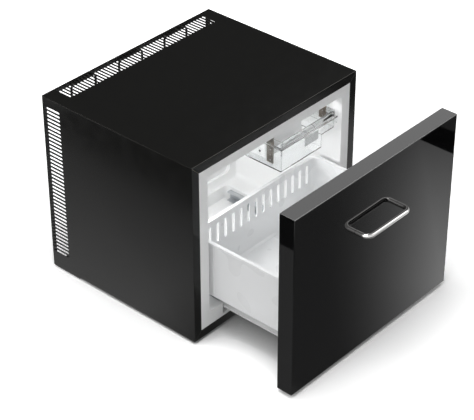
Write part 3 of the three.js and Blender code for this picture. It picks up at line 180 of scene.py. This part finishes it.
def moulded_white(name, dark, pale, smooth, rough):
    """White plastic, ceramic or epoxy, almost even in colour."""
    material, tree, shader = new_finish(name, pale, rough)
    mottle(tree, shader, noise(tree, 7, detail=0.0), dark, pale)
    roughen(tree, shader, noise(tree, 22, detail=0.0), smooth, rough)
    relief(tree, shader, noise(tree, 380, detail=2.0), 0.012, 0.03 * MM)
    return material


def see_through(name, tint, smooth, rough):
    """Clear acrylic."""
    material, tree, shader = new_finish(name, tint, rough)
    roughen(tree, shader, noise(tree, 70), smooth, rough)
    shader.inputs["Transmission Weight"].default_value = 1.0
    shader.inputs["IOR"].default_value = ACRYLIC_IOR
    return material


def grey_lens():
    material, tree, shader = new_finish("grey_lens", (0.46, 0.48, 0.49), 0.25)
    mottle(tree, shader, noise(tree, 90), (0.40, 0.42, 0.43), (0.52, 0.54, 0.55))
    roughen(tree, shader, noise(tree, 400), 0.2, 0.32)
    return material


def fine_black(name, colour, smooth, rough, grain):
    material, tree, shader = new_finish(name, colour, rough)
    paler = tuple(channel * 1.5 for channel in colour)
    mottle(tree, shader, noise(tree, 350), colour, paler)
    roughen(tree, shader, noise(tree, 60), smooth, rough)
    relief(tree, shader, noise(tree, grain, detail=2.0), 0.25, 0.06 * MM)
    return material


def plated(name, dark, pale, smooth, rough, brushed=(1.0, 1.0, 1.0)):
    """Bare or plated metal, with a brushed grain along the axis that has the small stretch."""
    material, tree, shader = new_finish(name, pale, rough, metallic=1.0)
    mottle(tree, shader, noise(tree, 120, stretch=brushed), dark, pale)
    roughen(tree, shader, noise(tree, 260, stretch=brushed), smooth, rough)
    relief(tree, shader, noise(tree, 900, stretch=brushed), 0.06, 0.02 * MM)
    return material


def spangled_zinc():
    """Hot-dip galvanised sheet: crystals a few millimetres wide."""
    material, tree, shader = new_finish("spangled_zinc", (0.55, 0.57, 0.58), 0.45, metallic=0.9)
    place = tree.nodes.new("ShaderNodeTexCoord")
    crystals = tree.nodes.new("ShaderNodeTexVoronoi")
    crystals.inputs["Scale"].default_value = 130.0
    tree.links.new(place.outputs["Object"], crystals.inputs["Vector"])
    grey = tree.nodes.new("ShaderNodeRGBToBW")
    tree.links.new(crystals.outputs["Color"], grey.inputs["Color"])
    mottle(tree, shader, grey.outputs["Val"], (0.42, 0.44, 0.45), (0.62, 0.64, 0.65))
    roughen(tree, shader, grey.outputs["Val"], 0.34, 0.52)
    return material


def cut_foam():
    material, tree, shader = new_finish("cut_foam", (0.72, 0.60, 0.33), 0.95)
    mottle(tree, shader, noise(tree, 260), (0.62, 0.50, 0.26), (0.78, 0.67, 0.40))
    relief(tree, shader, noise(tree, 700), 0.6, 0.3 * MM)
    return material


ALONG_Y = (1.0, 0.08, 1.0)          # stretches of a brushed grain
ALONG_Z = (1.0, 1.0, 0.1)

# Finishes by material slot
FINISHES = {
    "black_steel": powder_coat("satin_black_coat"),
    "galvanised": spangled_zinc(),
    "foam": cut_foam(),
    "white_plastic": moulded_white(
        "liner_white", dark=(0.842, 0.846, 0.846), pale=(0.858, 0.862, 0.862), smooth=0.34, rough=0.44),
    "basket_plastic": moulded_white(
        "basket_white", dark=(0.826, 0.834, 0.84), pale=(0.84, 0.848, 0.854), smooth=0.26, rough=0.34),
    "bare_aluminium": plated(
        "milled_aluminium", dark=(0.62, 0.63, 0.64), pale=(0.76, 0.77, 0.78), smooth=0.28, rough=0.42,
        brushed=ALONG_Z),
    "module_ceramic": moulded_white(
        "white_ceramic", dark=(0.78, 0.77, 0.73), pale=(0.84, 0.83, 0.79), smooth=0.5, rough=0.6),
    "black_plastic": fine_black(
        "black_moulding", colour=(0.011, 0.011, 0.011), smooth=0.42, rough=0.55, grain=900),
    "clear_plastic": see_through("clear_moulding", tint=(0.97, 0.98, 0.98), smooth=0.015, rough=0.05),
    "bracket_metal": plated(
        "bronze_strip", dark=(0.20, 0.17, 0.145), pale=(0.30, 0.26, 0.22), smooth=0.3, rough=0.42,
        brushed=ALONG_Z),
    "lens_plastic": grey_lens(),
    "gloss_black": gloss_lacquer(),
    "gasket_rubber": fine_black(
        "gasket_rubber", colour=(0.009, 0.009, 0.009), smooth=0.6, rough=0.75, grain=500),
    "bright_chrome": plated(
        "polished_chrome", dark=(0.77, 0.755, 0.74), pale=(0.83, 0.82, 0.81), smooth=0.035, rough=0.07),
    "zinc_steel": plated(
        "zinc_plate", dark=(0.50, 0.52, 0.54), pale=(0.66, 0.68, 0.69), smooth=0.26, rough=0.4,
        brushed=ALONG_Y),
    "white_steel": moulded_white(
        "white_epoxy", dark=(0.80, 0.805, 0.805), pale=(0.84, 0.845, 0.845), smooth=0.28, rough=0.36),
    "nylon": moulded_white(
        "natural_nylon", dark=(0.80, 0.79, 0.74), pale=(0.86, 0.85, 0.80), smooth=0.4, rough=0.5),
}
BAND_FINISH = matt_coat()

# Finishes of rounded edges, painted light: the pale ones on black coat and lacquer are painted highlights,
# and the grey tinted clear one is painted shade, as the rounded edges of clear plastic look darker than its
# walls.
EDGE_HIGHLIGHT_AND_SHADE = {
    "black_steel": painted_edge_highlight("coat_painted_highlight", dark=(0.07, 0.068, 0.063), pale=(0.10, 0.097, 0.09)),
    "gloss_black": painted_edge_highlight("lacquer_painted_highlight", dark=(0.20, 0.20, 0.20), pale=(0.26, 0.26, 0.26)),
    # Painted shade: a grey tinted clear finish on the clear cover's rounded edges.
    "clear_plastic": see_through("clear_edge_painted_shade", tint=(0.34, 0.35, 0.36), smooth=0.15, rough=0.25),
}
EDGE_PAINT_RISE = {                       # upward share of a face's normal from which its rounding takes the painted highlight or painted shade
    "black_steel": 0.3,
    "gloss_black": 0.3,
    "clear_plastic": -1.0,
}


# Making pieces
def finished(mesh, node, edges=(), band=()):
    """Makes the bmesh a piece that stands for a CAD node, with its body, its finish, and a painted highlight
    or painted shade on its rounded edges.
    """
    name = f"{node}_piece"
    slot = SLOT_OF[node]
    coats = [FINISHES[slot]]
    if slot in EDGE_HIGHLIGHT_AND_SHADE and edges:
        mesh.normal_update()
        coats.append(EDGE_HIGHLIGHT_AND_SHADE[slot])
        # Upward rounded faces take the painted highlight; on clear plastic all rounded faces take the painted
        # shade.
        for face in edges:
            face.material_index = int(face.normal.z >= EDGE_PAINT_RISE[slot])
    if band:
        for face in band:
            face.material_index = len(coats)
        coats.append(BAND_FINISH)
    data = bpy.data.meshes.new(name)
    for face in mesh.faces:
        face.smooth = True
    mesh.to_mesh(data)
    mesh.free()
    for coat in coats:
        data.materials.append(coat)
    piece = bpy.data.objects.new(name, data)
    bpy.context.scene.collection.objects.link(piece)
    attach(piece, frame["nodes"][node]["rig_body"])
    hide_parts(node)
    return piece


def solid_of(node):
    """A merged copy of a CAD node, with one face for each flat."""
    mesh = bmesh.new()
    mesh.from_mesh(frame["nodes"][node].data)
    bmesh.ops.remove_doubles(mesh, verts=mesh.verts, dist=MERGE)
    bmesh.ops.dissolve_limit(mesh, angle_limit=FLAT_ANGLE, verts=mesh.verts, edges=mesh.edges)
    return mesh


def crease(mesh, rounded=()):
    """Shades the mesh smooth, except over corners and between flats and the rounding of their edges."""
    for edge in mesh.edges:
        kinds = {face in rounded for face in edge.link_faces}
        edge.smooth = len(kinds) == 1 and edge.calc_face_angle(0.0) < SMOOTH_ANGLE


def round_edges(mesh, width, shortest=0.0, clamp=True):
    """Rounds the sharp edges above a length. With clamp all are rounded less where two would meet."""
    sharp = [
        edge for edge in mesh.edges
        if edge.calc_face_angle(0.0) > SMOOTH_ANGLE and edge.calc_length() > shortest
    ]
    made = bmesh.ops.bevel(mesh, geom=sharp, offset=width, offset_type="OFFSET", segments=3,
                           profile=0.5, affect="EDGES", material=-1, clamp_overlap=clamp)
    bmesh.ops.remove_doubles(mesh, verts=mesh.verts, dist=MERGE)
    faces = {face for face in made["faces"] if face.is_valid}
    crease(mesh, faces)
    return faces


def soft_edged(node, width):
    """A piece with the CAD node's shape and rounded edges."""
    mesh = solid_of(node)
    finished(mesh, node, round_edges(mesh, width))


LATHE_STEPS = 40
BAR_SIDES = 24
BEND_STEPS = 10
ALONG = {                           # turns that lay a lathe piece's axis along x, y or z
    "x": Matrix.Rotation(math.pi / 2, 4, "Y"),
    "y": Matrix.Rotation(-math.pi / 2, 4, "X"),
    "z": Matrix.Identity(4),
}


def turned(node, axis, centre, profile):
    """A lathe piece: a closed profile of (radius, along) points in millimetres about an axis."""
    mesh = bmesh.new()
    points = [mesh.verts.new((radius * MM, 0.0, along * MM)) for radius, along in profile]
    lines = [mesh.edges.new(pair) for pair in zip(points, points[1:] + points[:1])]
    bmesh.ops.spin(mesh, geom=points + lines, cent=(0, 0, 0), axis=(0, 0, 1), angle=2 * math.pi,
                   steps=LATHE_STEPS, use_merge=True)
    bmesh.ops.remove_doubles(mesh, verts=mesh.verts, dist=MERGE)
    bmesh.ops.transform(mesh, matrix=Matrix.Translation(centre) @ ALONG[axis], verts=mesh.verts)
    bmesh.ops.recalc_face_normals(mesh, faces=mesh.faces)
    crease(mesh)
    finished(mesh, node)


def drawn_on(mesh, loop, way):
    """Draws a loop of edges out along a straight way and gives the new loop."""
    made = bmesh.ops.extrude_edge_only(mesh, edges=loop)["geom"]
    points = {item for item in made if isinstance(item, bmesh.types.BMVert)}
    bmesh.ops.translate(mesh, vec=way, verts=list(points))
    return [item for item in made if isinstance(item, bmesh.types.BMEdge) and points.issuperset(item.verts)]


def bent_bar(node, corners, radius, bend):
    """A round bar along straight runs, spun about the centre of each bend."""
    mesh = bmesh.new()
    corners = [Vector(corner) for corner in corners]
    ahead = (corners[1] - corners[0]).normalized()
    stand = Matrix.Translation(corners[0]) @ ahead.to_track_quat("Z", "Y").to_matrix().to_4x4()
    bmesh.ops.create_circle(mesh, cap_ends=False, radius=radius, segments=BAR_SIDES, matrix=stand)
    loop = list(mesh.edges)
    here = corners[0]
    for before, corner, after in zip(corners, corners[1:], corners[2:]):
        back = (before - corner).normalized()
        ahead = (after - corner).normalized()
        half = back.angle(ahead) / 2
        setback = bend / math.tan(half)
        loop = drawn_on(mesh, loop, corner + back * setback - here)
        centre = corner + (back + ahead).normalized() * (bend / math.sin(half))
        ends = list({vert for edge in loop for vert in edge.verts})
        made = bmesh.ops.spin(mesh, geom=ends + loop, cent=centre, axis=back.cross(ahead),
                              angle=2 * half - math.pi, steps=BEND_STEPS)
        loop = [item for item in made["geom_last"] if isinstance(item, bmesh.types.BMEdge)]
        here = corner + ahead * setback
    drawn_on(mesh, loop, corners[-1] - here)
    bmesh.ops.remove_doubles(mesh, verts=mesh.verts, dist=MERGE)
    bmesh.ops.holes_fill(mesh, edges=mesh.edges, sides=BAR_SIDES)
    bmesh.ops.recalc_face_normals(mesh, faces=mesh.faces)
    crease(mesh)
    finished(mesh, node)


# Casing
SHEET = 1.0 * MM                    # its thickness
PANEL_EDGE = 0.4 * MM
LONG_EDGE = 12 * MM                 # shorter edges, as of the slots, stay sharp
FOLD_RADIUS = 1.2 * MM
FOLD_FACE = 2e-3                    # square metres, so that the sheet's own edges are left out
FACING = 0.9                        # least share of a front face's normal that points to the front
SLOT_FACET_TURN = (math.radians(20), math.radians(75))
SLOT_ROUNDING = 0.9 * MM
SLOT_FACET = 2 * MM                 # narrower flats belong to screw holes


def slotted(node):
    """A sheet with rounded folds, whose slot ends, flats in the CAD, become round."""
    mesh = solid_of(node)
    low, high = SLOT_FACET_TURN
    corners = [
        edge for edge in mesh.edges
        if low < edge.calc_face_angle(0.0) < high and abs(edge.calc_length() - SHEET) < MERGE
        and min(face.calc_area() for face in edge.link_faces) > SHEET * SLOT_FACET
    ]
    bmesh.ops.bevel(mesh, geom=corners, offset=SLOT_ROUNDING, offset_type="OFFSET", segments=2,
                    profile=0.5, affect="EDGES", material=-1, clamp_overlap=False)
    folds = [
        edge for edge in mesh.edges
        if edge.is_convex and edge.calc_face_angle(0.0) > SMOOTH_ANGLE
        and min(face.calc_area() for face in edge.link_faces) > FOLD_FACE
    ]
    made = bmesh.ops.bevel(mesh, geom=folds, offset=FOLD_RADIUS, offset_type="OFFSET", segments=4,
                           profile=0.5, affect="EDGES", material=-1, clamp_overlap=False)
    bends = round_edges(mesh, PANEL_EDGE, LONG_EDGE, clamp=False)
    bends |= {face for face in made["faces"] if face.is_valid}
    crease(mesh, bends)
    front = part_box(node)[0].y
    band = [
        face for face in mesh.faces
        if face not in bends and face.normal.y < -FACING and face.calc_center_median().y < front + SHEET / 2
    ]
    finished(mesh, node, bends, band)


for panel in ("top_panel", "left_panel", "right_panel", "base_pan"):
    slotted(panel)


# Pieces with their edges rounded, in millimetres
EDGES = {
    "inner_liner": 0.6,
    "back_sheet": 0.2,
    "hot_block": 0.4,
    "condenser_bar_lower": 0.3,
    "condenser_bar_upper": 0.3,
    "control_box": 1.0,
    "light_bracket_left": 0.2,
    "light_bracket_right": 0.2,
    "light_unit": 1.2,
    "light_lens": 0.3,
    "front_panel": 0.9,
    "front_inner_panel": 0.4,
    "front_gasket": 0.8,
    "cabinet_rail_left": 0.2,
    "cabinet_rail_right": 0.2,
    "drawer_rail_left": 0.2,
    "drawer_rail_right": 0.2,
}
for node, width in EDGES.items():
    soft_edged(node, width * MM)


# Basket, with small pips along the rim
BASKET_EDGE = 0.4 * MM
PIP_RADIUS = 2.0 * MM
PIP_TOP_RADIUS = 1.2 * MM
PIP_HEIGHT = 1.0 * MM
PIP_PITCH = 68 * MM
PIP_INSET = 3.0 * MM
PIP_COUNT = 4                       # along each side
PIP_SIDES = 16


def basket():
    mesh = solid_of("drawer_basket")
    round_edges(mesh, BASKET_EDGE)
    low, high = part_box("drawer_basket")
    for x in (low.x + PIP_INSET, high.x - PIP_INSET):
        for step in range(PIP_COUNT):
            place = Vector((x, high.y - PIP_PITCH * (step + 0.5), high.z))
            bmesh.ops.create_cone(mesh, cap_ends=True, segments=PIP_SIDES, radius1=PIP_RADIUS,
                                  radius2=PIP_TOP_RADIUS, depth=PIP_HEIGHT,
                                  matrix=Matrix.Translation(place))
    finished(mesh, "drawer_basket")


basket()


# Clear cover, with a peg under each front corner of its collar
COVER_EDGE = 0.5 * MM
PEG_RADIUS = 2.2 * MM
PEG_TIP_RADIUS = 1.87 * MM
PEG_LENGTH = 12 * MM
PEG_INSET = 2.8 * MM
PEG_SIDES = 20
COLLAR_UNDERSIDE = 17 * MM          # below the cover's upper rim


def cover():
    mesh = solid_of("light_cover")
    edges = round_edges(mesh, COVER_EDGE, clamp=False)
    low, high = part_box("light_cover")
    for x in (low.x + PEG_INSET, high.x - PEG_INSET):
        middle = Vector((x, low.y + PEG_INSET, high.z - COLLAR_UNDERSIDE - PEG_LENGTH / 2))
        bmesh.ops.create_cone(mesh, cap_ends=True, segments=PEG_SIDES, radius1=PEG_TIP_RADIUS,
                              radius2=PEG_RADIUS, depth=PEG_LENGTH, matrix=Matrix.Translation(middle))
    crease(mesh)
    piece = finished(mesh, "light_cover", edges)
    piece.visible_shadow = False


cover()


# Lathe pieces, in millimetres
FOOT_RADIUS = 14.0
FOOT_CHAMFER = 1.2
ROLLER_RADIUS = 8.0
ROLLER_HALF = 4.0
ROLLER_BORE = 2.6
ROLLER_WALL = 1.2               # hub and rim beside the hollow
ROLLER_HOLLOW = 1.0             # depth of the hollow in each side
ROLLER_LEAN = 0.6               # how far the hollow's sides lean in
ROLLER_CHAMFER = 0.4
SCREW_SEAT = 245.3              # from the middle of the cabinet
SCREW_HEAD = 3.4
SCREW_HEIGHT = 1.0
SCREW_SHANK = 1.8
SCREW_LENGTH = 2.6
DOME_STEPS = 4
GLAND_BORE = 4.0
GLAND_COLLAR = 9.0
GLAND_COLLAR_DEPTH = 6.0
GLAND_NECK_BASE = 7.6
GLAND_NECK_TIP = 6.2
GLAND_LENGTH = 15.0
GLAND_CHAMFER = 0.5


def foot_profile(height):
    return [(0.0, 0.0), (FOOT_RADIUS - FOOT_CHAMFER, 0.0), (FOOT_RADIUS, FOOT_CHAMFER),
            (FOOT_RADIUS, height - FOOT_CHAMFER), (FOOT_RADIUS - FOOT_CHAMFER, height), (0.0, height)]


def roller_profile():
    """A roller with a hollow in each side and a chamfered tread."""
    hub = ROLLER_BORE + ROLLER_WALL
    rim = ROLLER_RADIUS - ROLLER_WALL
    floor_of_hollow = ROLLER_HALF - ROLLER_HOLLOW
    outward = [(ROLLER_BORE, ROLLER_HALF), (hub, ROLLER_HALF), (hub + ROLLER_LEAN, floor_of_hollow),
               (rim - ROLLER_LEAN, floor_of_hollow), (rim, ROLLER_HALF),
               (ROLLER_RADIUS - ROLLER_CHAMFER, ROLLER_HALF), (ROLLER_RADIUS, ROLLER_HALF - ROLLER_CHAMFER)]
    return [(radius, -height) for radius, height in outward] + outward[::-1]


def screw_profile(out):
    """A domed head outwards of the seat and a plain shank inwards."""
    turns = [step / DOME_STEPS * math.pi / 2 for step in range(DOME_STEPS + 1)]
    dome = [(SCREW_HEAD * math.sin(turn), out * SCREW_HEIGHT * math.cos(turn)) for turn in turns]
    return dome + [(SCREW_SHANK, 0.0), (SCREW_SHANK, -out * SCREW_LENGTH), (0.0, -out * SCREW_LENGTH)]


def gland_profile():
    """A collar with a tapering neck, round a bore."""
    return [(GLAND_BORE, 0.0), (GLAND_COLLAR - GLAND_CHAMFER, 0.0), (GLAND_COLLAR, GLAND_CHAMFER),
            (GLAND_COLLAR, GLAND_COLLAR_DEPTH - GLAND_CHAMFER),
            (GLAND_COLLAR - GLAND_CHAMFER, GLAND_COLLAR_DEPTH), (GLAND_NECK_BASE, GLAND_COLLAR_DEPTH),
            (GLAND_NECK_TIP, GLAND_LENGTH - GLAND_CHAMFER),
            (GLAND_NECK_TIP - GLAND_CHAMFER, GLAND_LENGTH), (GLAND_BORE, GLAND_LENGTH)]


for node in frame["nodes"]:
    low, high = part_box(node)
    centre = (low + high) / 2
    if node.startswith("foot_"):
        turned(node, "z", (centre.x, centre.y, low.z), foot_profile((high.z - low.z) / MM))
    elif "_roller_pin_" not in node and "_roller_" in node:
        turned(node, "x", centre, roller_profile())
    elif node.startswith("base_screw_"):
        out = 1 if centre.x > 0 else -1
        turned(node, "x", (out * SCREW_SEAT * MM, centre.y, centre.z), screw_profile(out))
    elif node == "cord_gland":
        turned(node, "y", (centre.x, low.y, centre.z), gland_profile())


# Bent bars: the pull on the drawer and the condenser behind the box
HANDLE_BEND = 13 * MM
COIL_RADIUS = 2.5 * MM
COIL_BEND = 8 * MM
COIL_RUNS = 6                       # upright, from left to right
COIL_HALF = 169 * MM                # outermost runs from the middle


def pull():
    low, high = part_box("drawer_handle")
    radius = (high.z - low.z) / 2
    left = low.x + radius
    right = high.x - radius
    front = low.y + radius
    height = (low.z + high.z) / 2
    bent_bar("drawer_handle", [(left, high.y, height), (left, front, height), (right, front, height),
                               (right, high.y, height)], radius, HANDLE_BEND)


def coil():
    """From the hot block out to the left, up and down behind the box, and back to the block on the right."""
    low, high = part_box("condenser_coil")
    block_low, block_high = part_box("hot_block")
    middle_height = (block_low.z + block_high.z) / 2
    side = high.x - COIL_RADIUS
    feed = low.y + COIL_RADIUS
    back = high.y - COIL_RADIUS
    bottom = low.z + COIL_RADIUS
    top = high.z - COIL_RADIUS
    corners = [(block_low.x, feed, middle_height), (-side, feed, middle_height), (-side, feed, bottom),
               (-side, back, bottom)]
    for run in range(COIL_RUNS):
        x = (2 * run / (COIL_RUNS - 1) - 1) * COIL_HALF
        ends = (bottom, top) if run % 2 == 0 else (top, bottom)
        corners += [(x, back, end) for end in ends]
    corners += [(side, back, bottom), (side, feed, bottom), (side, feed, middle_height),
                (block_high.x, feed, middle_height)]
    bent_bar("condenser_coil", corners, COIL_RADIUS, COIL_BEND)


pull()
coil()


# Nodes that stay as they are, with a better material
for node, solid in frame["nodes"].items():
    solid.data.materials.clear()
    solid.data.materials.append(FINISHES[SLOT_OF[node]])


# Stage: a pale floor, which shows the camera white with a painted shadow under the object, and shows
# reflections a graded card
FLOOR_SIZE = 12.0
FLOOR_COLOUR = 0.9                  # as light sees it
FLOOR_SHOWN = 1.45                  # as the camera sees it
LIFT_ENDS = (0.3, 1.0)              # distance over which light is added for the camera
LIFT_NEAR = 0.04
LIFT_FAR = 0.6                      # makes bare floor white
SHADOW_PAINT_REACH = 0.3                 # how far the floor looks for what stands over it, for its painted shadow
SHADOW_PAINT_SHARE = 0.5                 # share of open sky below which the floor takes painted shadow
SHADOW_PAINT_LEVEL = 0.02                # share of its paleness that is left right under it, in the painted shadow

# The card, with its ends as places along x where no other way is named
CARD_LEFT = -0.62
CARD_RIGHT = 0.67
CARD_GAP_END = 0.75                 # a dark strip reaches from the card's right edge to here
CARD_BEYOND = 0.1                   # brightness right of the strip
CARD_REACH = (1.1, 1.4)             # beyond this distance the floor is white in reflections too
CARD_DARK = 0.11                    # brightness all over
CARD_PALE = 1.4                     # added at the right, close to the drawer
RIGHT_ENDS = (-0.25, 0.0)           # where that light sets in
SLOPE = (0.665, 0.747, 0.0)         # way over the floor in which it grows
SLOPE_ENDS = (-0.33, -0.07)
SLOPE_POWER = 2.2
FADE = (0.747, -0.665, 0.0)         # way over the floor in which it fades
FADE_ENDS = (0.4, 1.0)
FADE_LEFT = 0.2                     # share that is left at the far end
CARD_LEFT_LEVEL = 0.17              # added left of the cabinet
LEFT_ENDS = (-0.20, -0.26)
CARD_GLOW = 0.4                     # added close to the cabinet's left side
GLOW_ENDS = (-0.55, -0.23)
GLOW_FRONT = (-0.05, 0.1)           # along y, where the glow sets in


def figure(tree, operation, first, second=0.0):
    """A sum on numbers or on the outputs of other nodes."""
    node = tree.nodes.new("ShaderNodeMath")
    node.operation = operation
    for socket, value in zip(node.inputs, (first, second)):
        if isinstance(value, float):
            socket.default_value = value
        else:
            tree.links.new(value, socket)
    return node.outputs["Value"]


def along(tree, place, way):
    """How far a place lies along a way."""
    node = tree.nodes.new("ShaderNodeVectorMath")
    node.operation = "DOT_PRODUCT"
    node.inputs[1].default_value = way
    tree.links.new(place, node.inputs[0])
    return node.outputs["Value"]


def card_level(tree, place, reach):
    """Brightness of the floor in reflections: a card that grows paler to the right, with a dark edge."""
    parts = tree.nodes.new("ShaderNodeSeparateXYZ")
    tree.links.new(place, parts.inputs["Vector"])
    x = parts.outputs["X"]
    slope = figure(tree, "POWER", scaled(tree, along(tree, place, SLOPE), *SLOPE_ENDS), SLOPE_POWER)
    fade = scaled(tree, along(tree, place, FADE), *FADE_ENDS, CARD_PALE, CARD_PALE * FADE_LEFT)
    right = figure(tree, "MULTIPLY", scaled(tree, x, *RIGHT_ENDS), figure(tree, "MULTIPLY", slope, fade))
    left = scaled(tree, x, *LEFT_ENDS, 0.0, CARD_LEFT_LEVEL)
    glow = figure(tree, "MULTIPLY", scaled(tree, x, *GLOW_ENDS, 0.0, CARD_GLOW),
                  figure(tree, "LESS_THAN", x, GLOW_ENDS[1]))
    glow = figure(tree, "MULTIPLY", glow, scaled(tree, parts.outputs["Y"], *GLOW_FRONT))
    level = CARD_DARK
    for share in (right, left, glow):
        level = figure(tree, "ADD", share, level)
    inside = figure(tree, "MULTIPLY", figure(tree, "GREATER_THAN", x, CARD_LEFT),
                    figure(tree, "LESS_THAN", x, CARD_RIGHT))
    beyond = figure(tree, "MULTIPLY", figure(tree, "GREATER_THAN", x, CARD_GAP_END), CARD_BEYOND)
    card = figure(tree, "ADD", figure(tree, "MULTIPLY", level, inside), beyond)
    return figure(tree, "MAXIMUM", card, scaled(tree, reach, *CARD_REACH))


def shown_floor(tree, seen, reach):
    """The floor that the camera and light see: matt, with a painted shadow that darkens its colour under the
    object, and lifted far from it.
    """
    # Painted shadow: the floor's colour is darkened where ambient occlusion finds the object over it.
    shadow_paint_test = tree.nodes.new("ShaderNodeAmbientOcclusion")
    shadow_paint_test.inputs["Distance"].default_value = SHADOW_PAINT_REACH
    painted_shadow_factor = scaled(tree, shadow_paint_test.outputs["AO"], 0.0, SHADOW_PAINT_SHARE, SHADOW_PAINT_LEVEL, 1.0)
    paleness = figure(tree, "MULTIPLY", scaled(tree, seen, 0.0, 1.0, FLOOR_COLOUR, FLOOR_SHOWN), painted_shadow_factor)
    shade = tree.nodes.new("ShaderNodeCombineColor")
    for channel in shade.inputs:
        tree.links.new(paleness, channel)
    matt = tree.nodes.new("ShaderNodeBsdfDiffuse")
    tree.links.new(shade.outputs["Color"], matt.inputs["Color"])
    lift = tree.nodes.new("ShaderNodeEmission")
    rise = scaled(tree, reach, *LIFT_ENDS, LIFT_NEAR, LIFT_FAR)
    tree.links.new(figure(tree, "MULTIPLY", seen, rise), lift.inputs["Strength"])
    both = tree.nodes.new("ShaderNodeAddShader")
    tree.links.new(matt.outputs["BSDF"], both.inputs[0])
    tree.links.new(lift.outputs["Emission"], both.inputs[1])
    return both.outputs["Shader"]


def floor_finish():
    material = bpy.data.materials.new("pale_floor")
    material.use_nodes = True
    tree = material.node_tree
    tree.nodes.clear()
    rays = tree.nodes.new("ShaderNodeLightPath")
    seen = figure(tree, "MAXIMUM", rays.outputs["Is Camera Ray"], rays.outputs["Is Transmission Ray"])
    place = tree.nodes.new("ShaderNodeTexCoord").outputs["Object"]
    distance = tree.nodes.new("ShaderNodeVectorMath")
    distance.operation = "LENGTH"
    tree.links.new(place, distance.inputs[0])
    reach = distance.outputs["Value"]
    card = tree.nodes.new("ShaderNodeEmission")
    tree.links.new(card_level(tree, place, reach), card.inputs["Strength"])
    either = tree.nodes.new("ShaderNodeMixShader")
    tree.links.new(rays.outputs["Is Glossy Ray"], either.inputs["Fac"])
    tree.links.new(shown_floor(tree, seen, reach), either.inputs[1])
    tree.links.new(card.outputs["Emission"], either.inputs[2])
    output = tree.nodes.new("ShaderNodeOutputMaterial")
    tree.links.new(either.outputs["Shader"], output.inputs["Surface"])
    return material


def floor():
    mesh = bmesh.new()
    bmesh.ops.create_grid(mesh, x_segments=1, y_segments=1, size=FLOOR_SIZE)
    data = bpy.data.meshes.new("floor")
    mesh.to_mesh(data)
    mesh.free()
    data.materials.append(floor_finish())
    sheet = bpy.data.objects.new("floor", data)
    bpy.context.scene.collection.objects.link(sheet)


# World and lamps
SKY_LIGHT = 0.36                    # as light sees it
SKY_GLOSS = 1.0                     # white in reflections too
SKY_DARK = 0.08                     # in reflections, behind the cabinet on the right
DARK_WAY = (0.62, 0.55, 0.56)
DARK_EDGE = 0.80                    # cosine off that way within which the sky is dark
PALE_EDGE = 0.35                    # and from which it is white


def world():
    sky = bpy.data.worlds.new("studio")
    bpy.context.scene.world = sky
    sky.use_nodes = True
    tree = sky.node_tree
    tree.nodes.clear()
    rays = tree.nodes.new("ShaderNodeLightPath")
    way = tree.nodes.new("ShaderNodeTexCoord").outputs["Generated"]
    mirrored = scaled(tree, along(tree, way, DARK_WAY), PALE_EDGE, DARK_EDGE, SKY_GLOSS, SKY_DARK)
    change = figure(tree, "SUBTRACT", mirrored, SKY_LIGHT)
    gloss = figure(tree, "MULTIPLY", rays.outputs["Is Glossy Ray"], change)
    shown = figure(tree, "MAXIMUM", rays.outputs["Is Camera Ray"], rays.outputs["Is Transmission Ray"])
    backdrop = tree.nodes.new("ShaderNodeBackground")
    level = figure(tree, "MAXIMUM", figure(tree, "ADD", gloss, SKY_LIGHT), shown)
    tree.links.new(level, backdrop.inputs["Strength"])
    output = tree.nodes.new("ShaderNodeOutputWorld")
    tree.links.new(backdrop.outputs["Background"], output.inputs["Surface"])


def lamp(name, place, target, width, height, power, rays=None):
    """An area lamp, which may light rays of one kind only."""
    data = bpy.data.lights.new(name, "AREA")
    data.shape = "RECTANGLE"
    data.size = width
    data.size_y = height
    data.energy = power
    light = bpy.data.objects.new(name, data)
    light.location = place
    light.rotation_euler = (Vector(target) - Vector(place)).to_track_quat("-Z", "Y").to_euler()
    light.visible_camera = False
    if rays:
        light.visible_diffuse = rays == "diffuse"
        light.visible_glossy = rays == "glossy"
        light.visible_transmission = False
    bpy.context.scene.collection.objects.link(light)


def camera():
    data = bpy.data.cameras.new("camera")
    data.sensor_width = SENSOR_WIDTH
    data.lens = FOCAL_PIXELS * SENSOR_WIDTH / IMAGE_WIDTH
    viewer = bpy.data.objects.new("camera", data)
    up = CAMERA_RIGHT.cross(CAMERA_FORWARD)
    turn = Matrix((CAMERA_RIGHT, up, -CAMERA_FORWARD)).transposed()
    viewer.matrix_world = Matrix.Translation(CAMERA_PLACE) @ turn.to_4x4()
    bpy.context.scene.collection.objects.link(viewer)
    bpy.context.scene.camera = viewer


floor()
world()
lamp("top_light", place=(-0.3, -0.08, 2.4), target=(-0.05, -0.05, 0.2), width=1.0, height=1.0, power=23)
lamp("left_light", place=(-2.4, -0.3, 1.9), target=(0.0, 0.0, 0.2), width=1.6, height=1.6, power=23)
lamp("front_light", place=(-1.6, -1.5, 1.4), target=(0.0, 0.0, 0.2), width=1.2, height=1.2, power=4)
lamp("edge_light", place=(0.69, 0.22, 0.96), target=(0.69, 0.22, 0.0), width=0.80, height=0.14, power=0.62)
lamp("inside_light", place=(-0.19, 0.09, 0.30), target=(0.2, 0.09, 0.27), width=0.2, height=0.12, power=0.74,
     rays="diffuse")
lamp("corner_light", place=(0.172, 0.05, 0.366), target=(0.12, 0.05, 0.0), width=0.2, height=0.03, power=0.16,
     rays="diffuse")
lamp("rim_light", place=(1.25, -1.2, 1.5), target=(0.0, -0.06, 0.415), width=0.4, height=1.5, power=3.8,
     rays="glossy")
camera()
bpy.context.scene.view_settings.view_transform = "Standard"
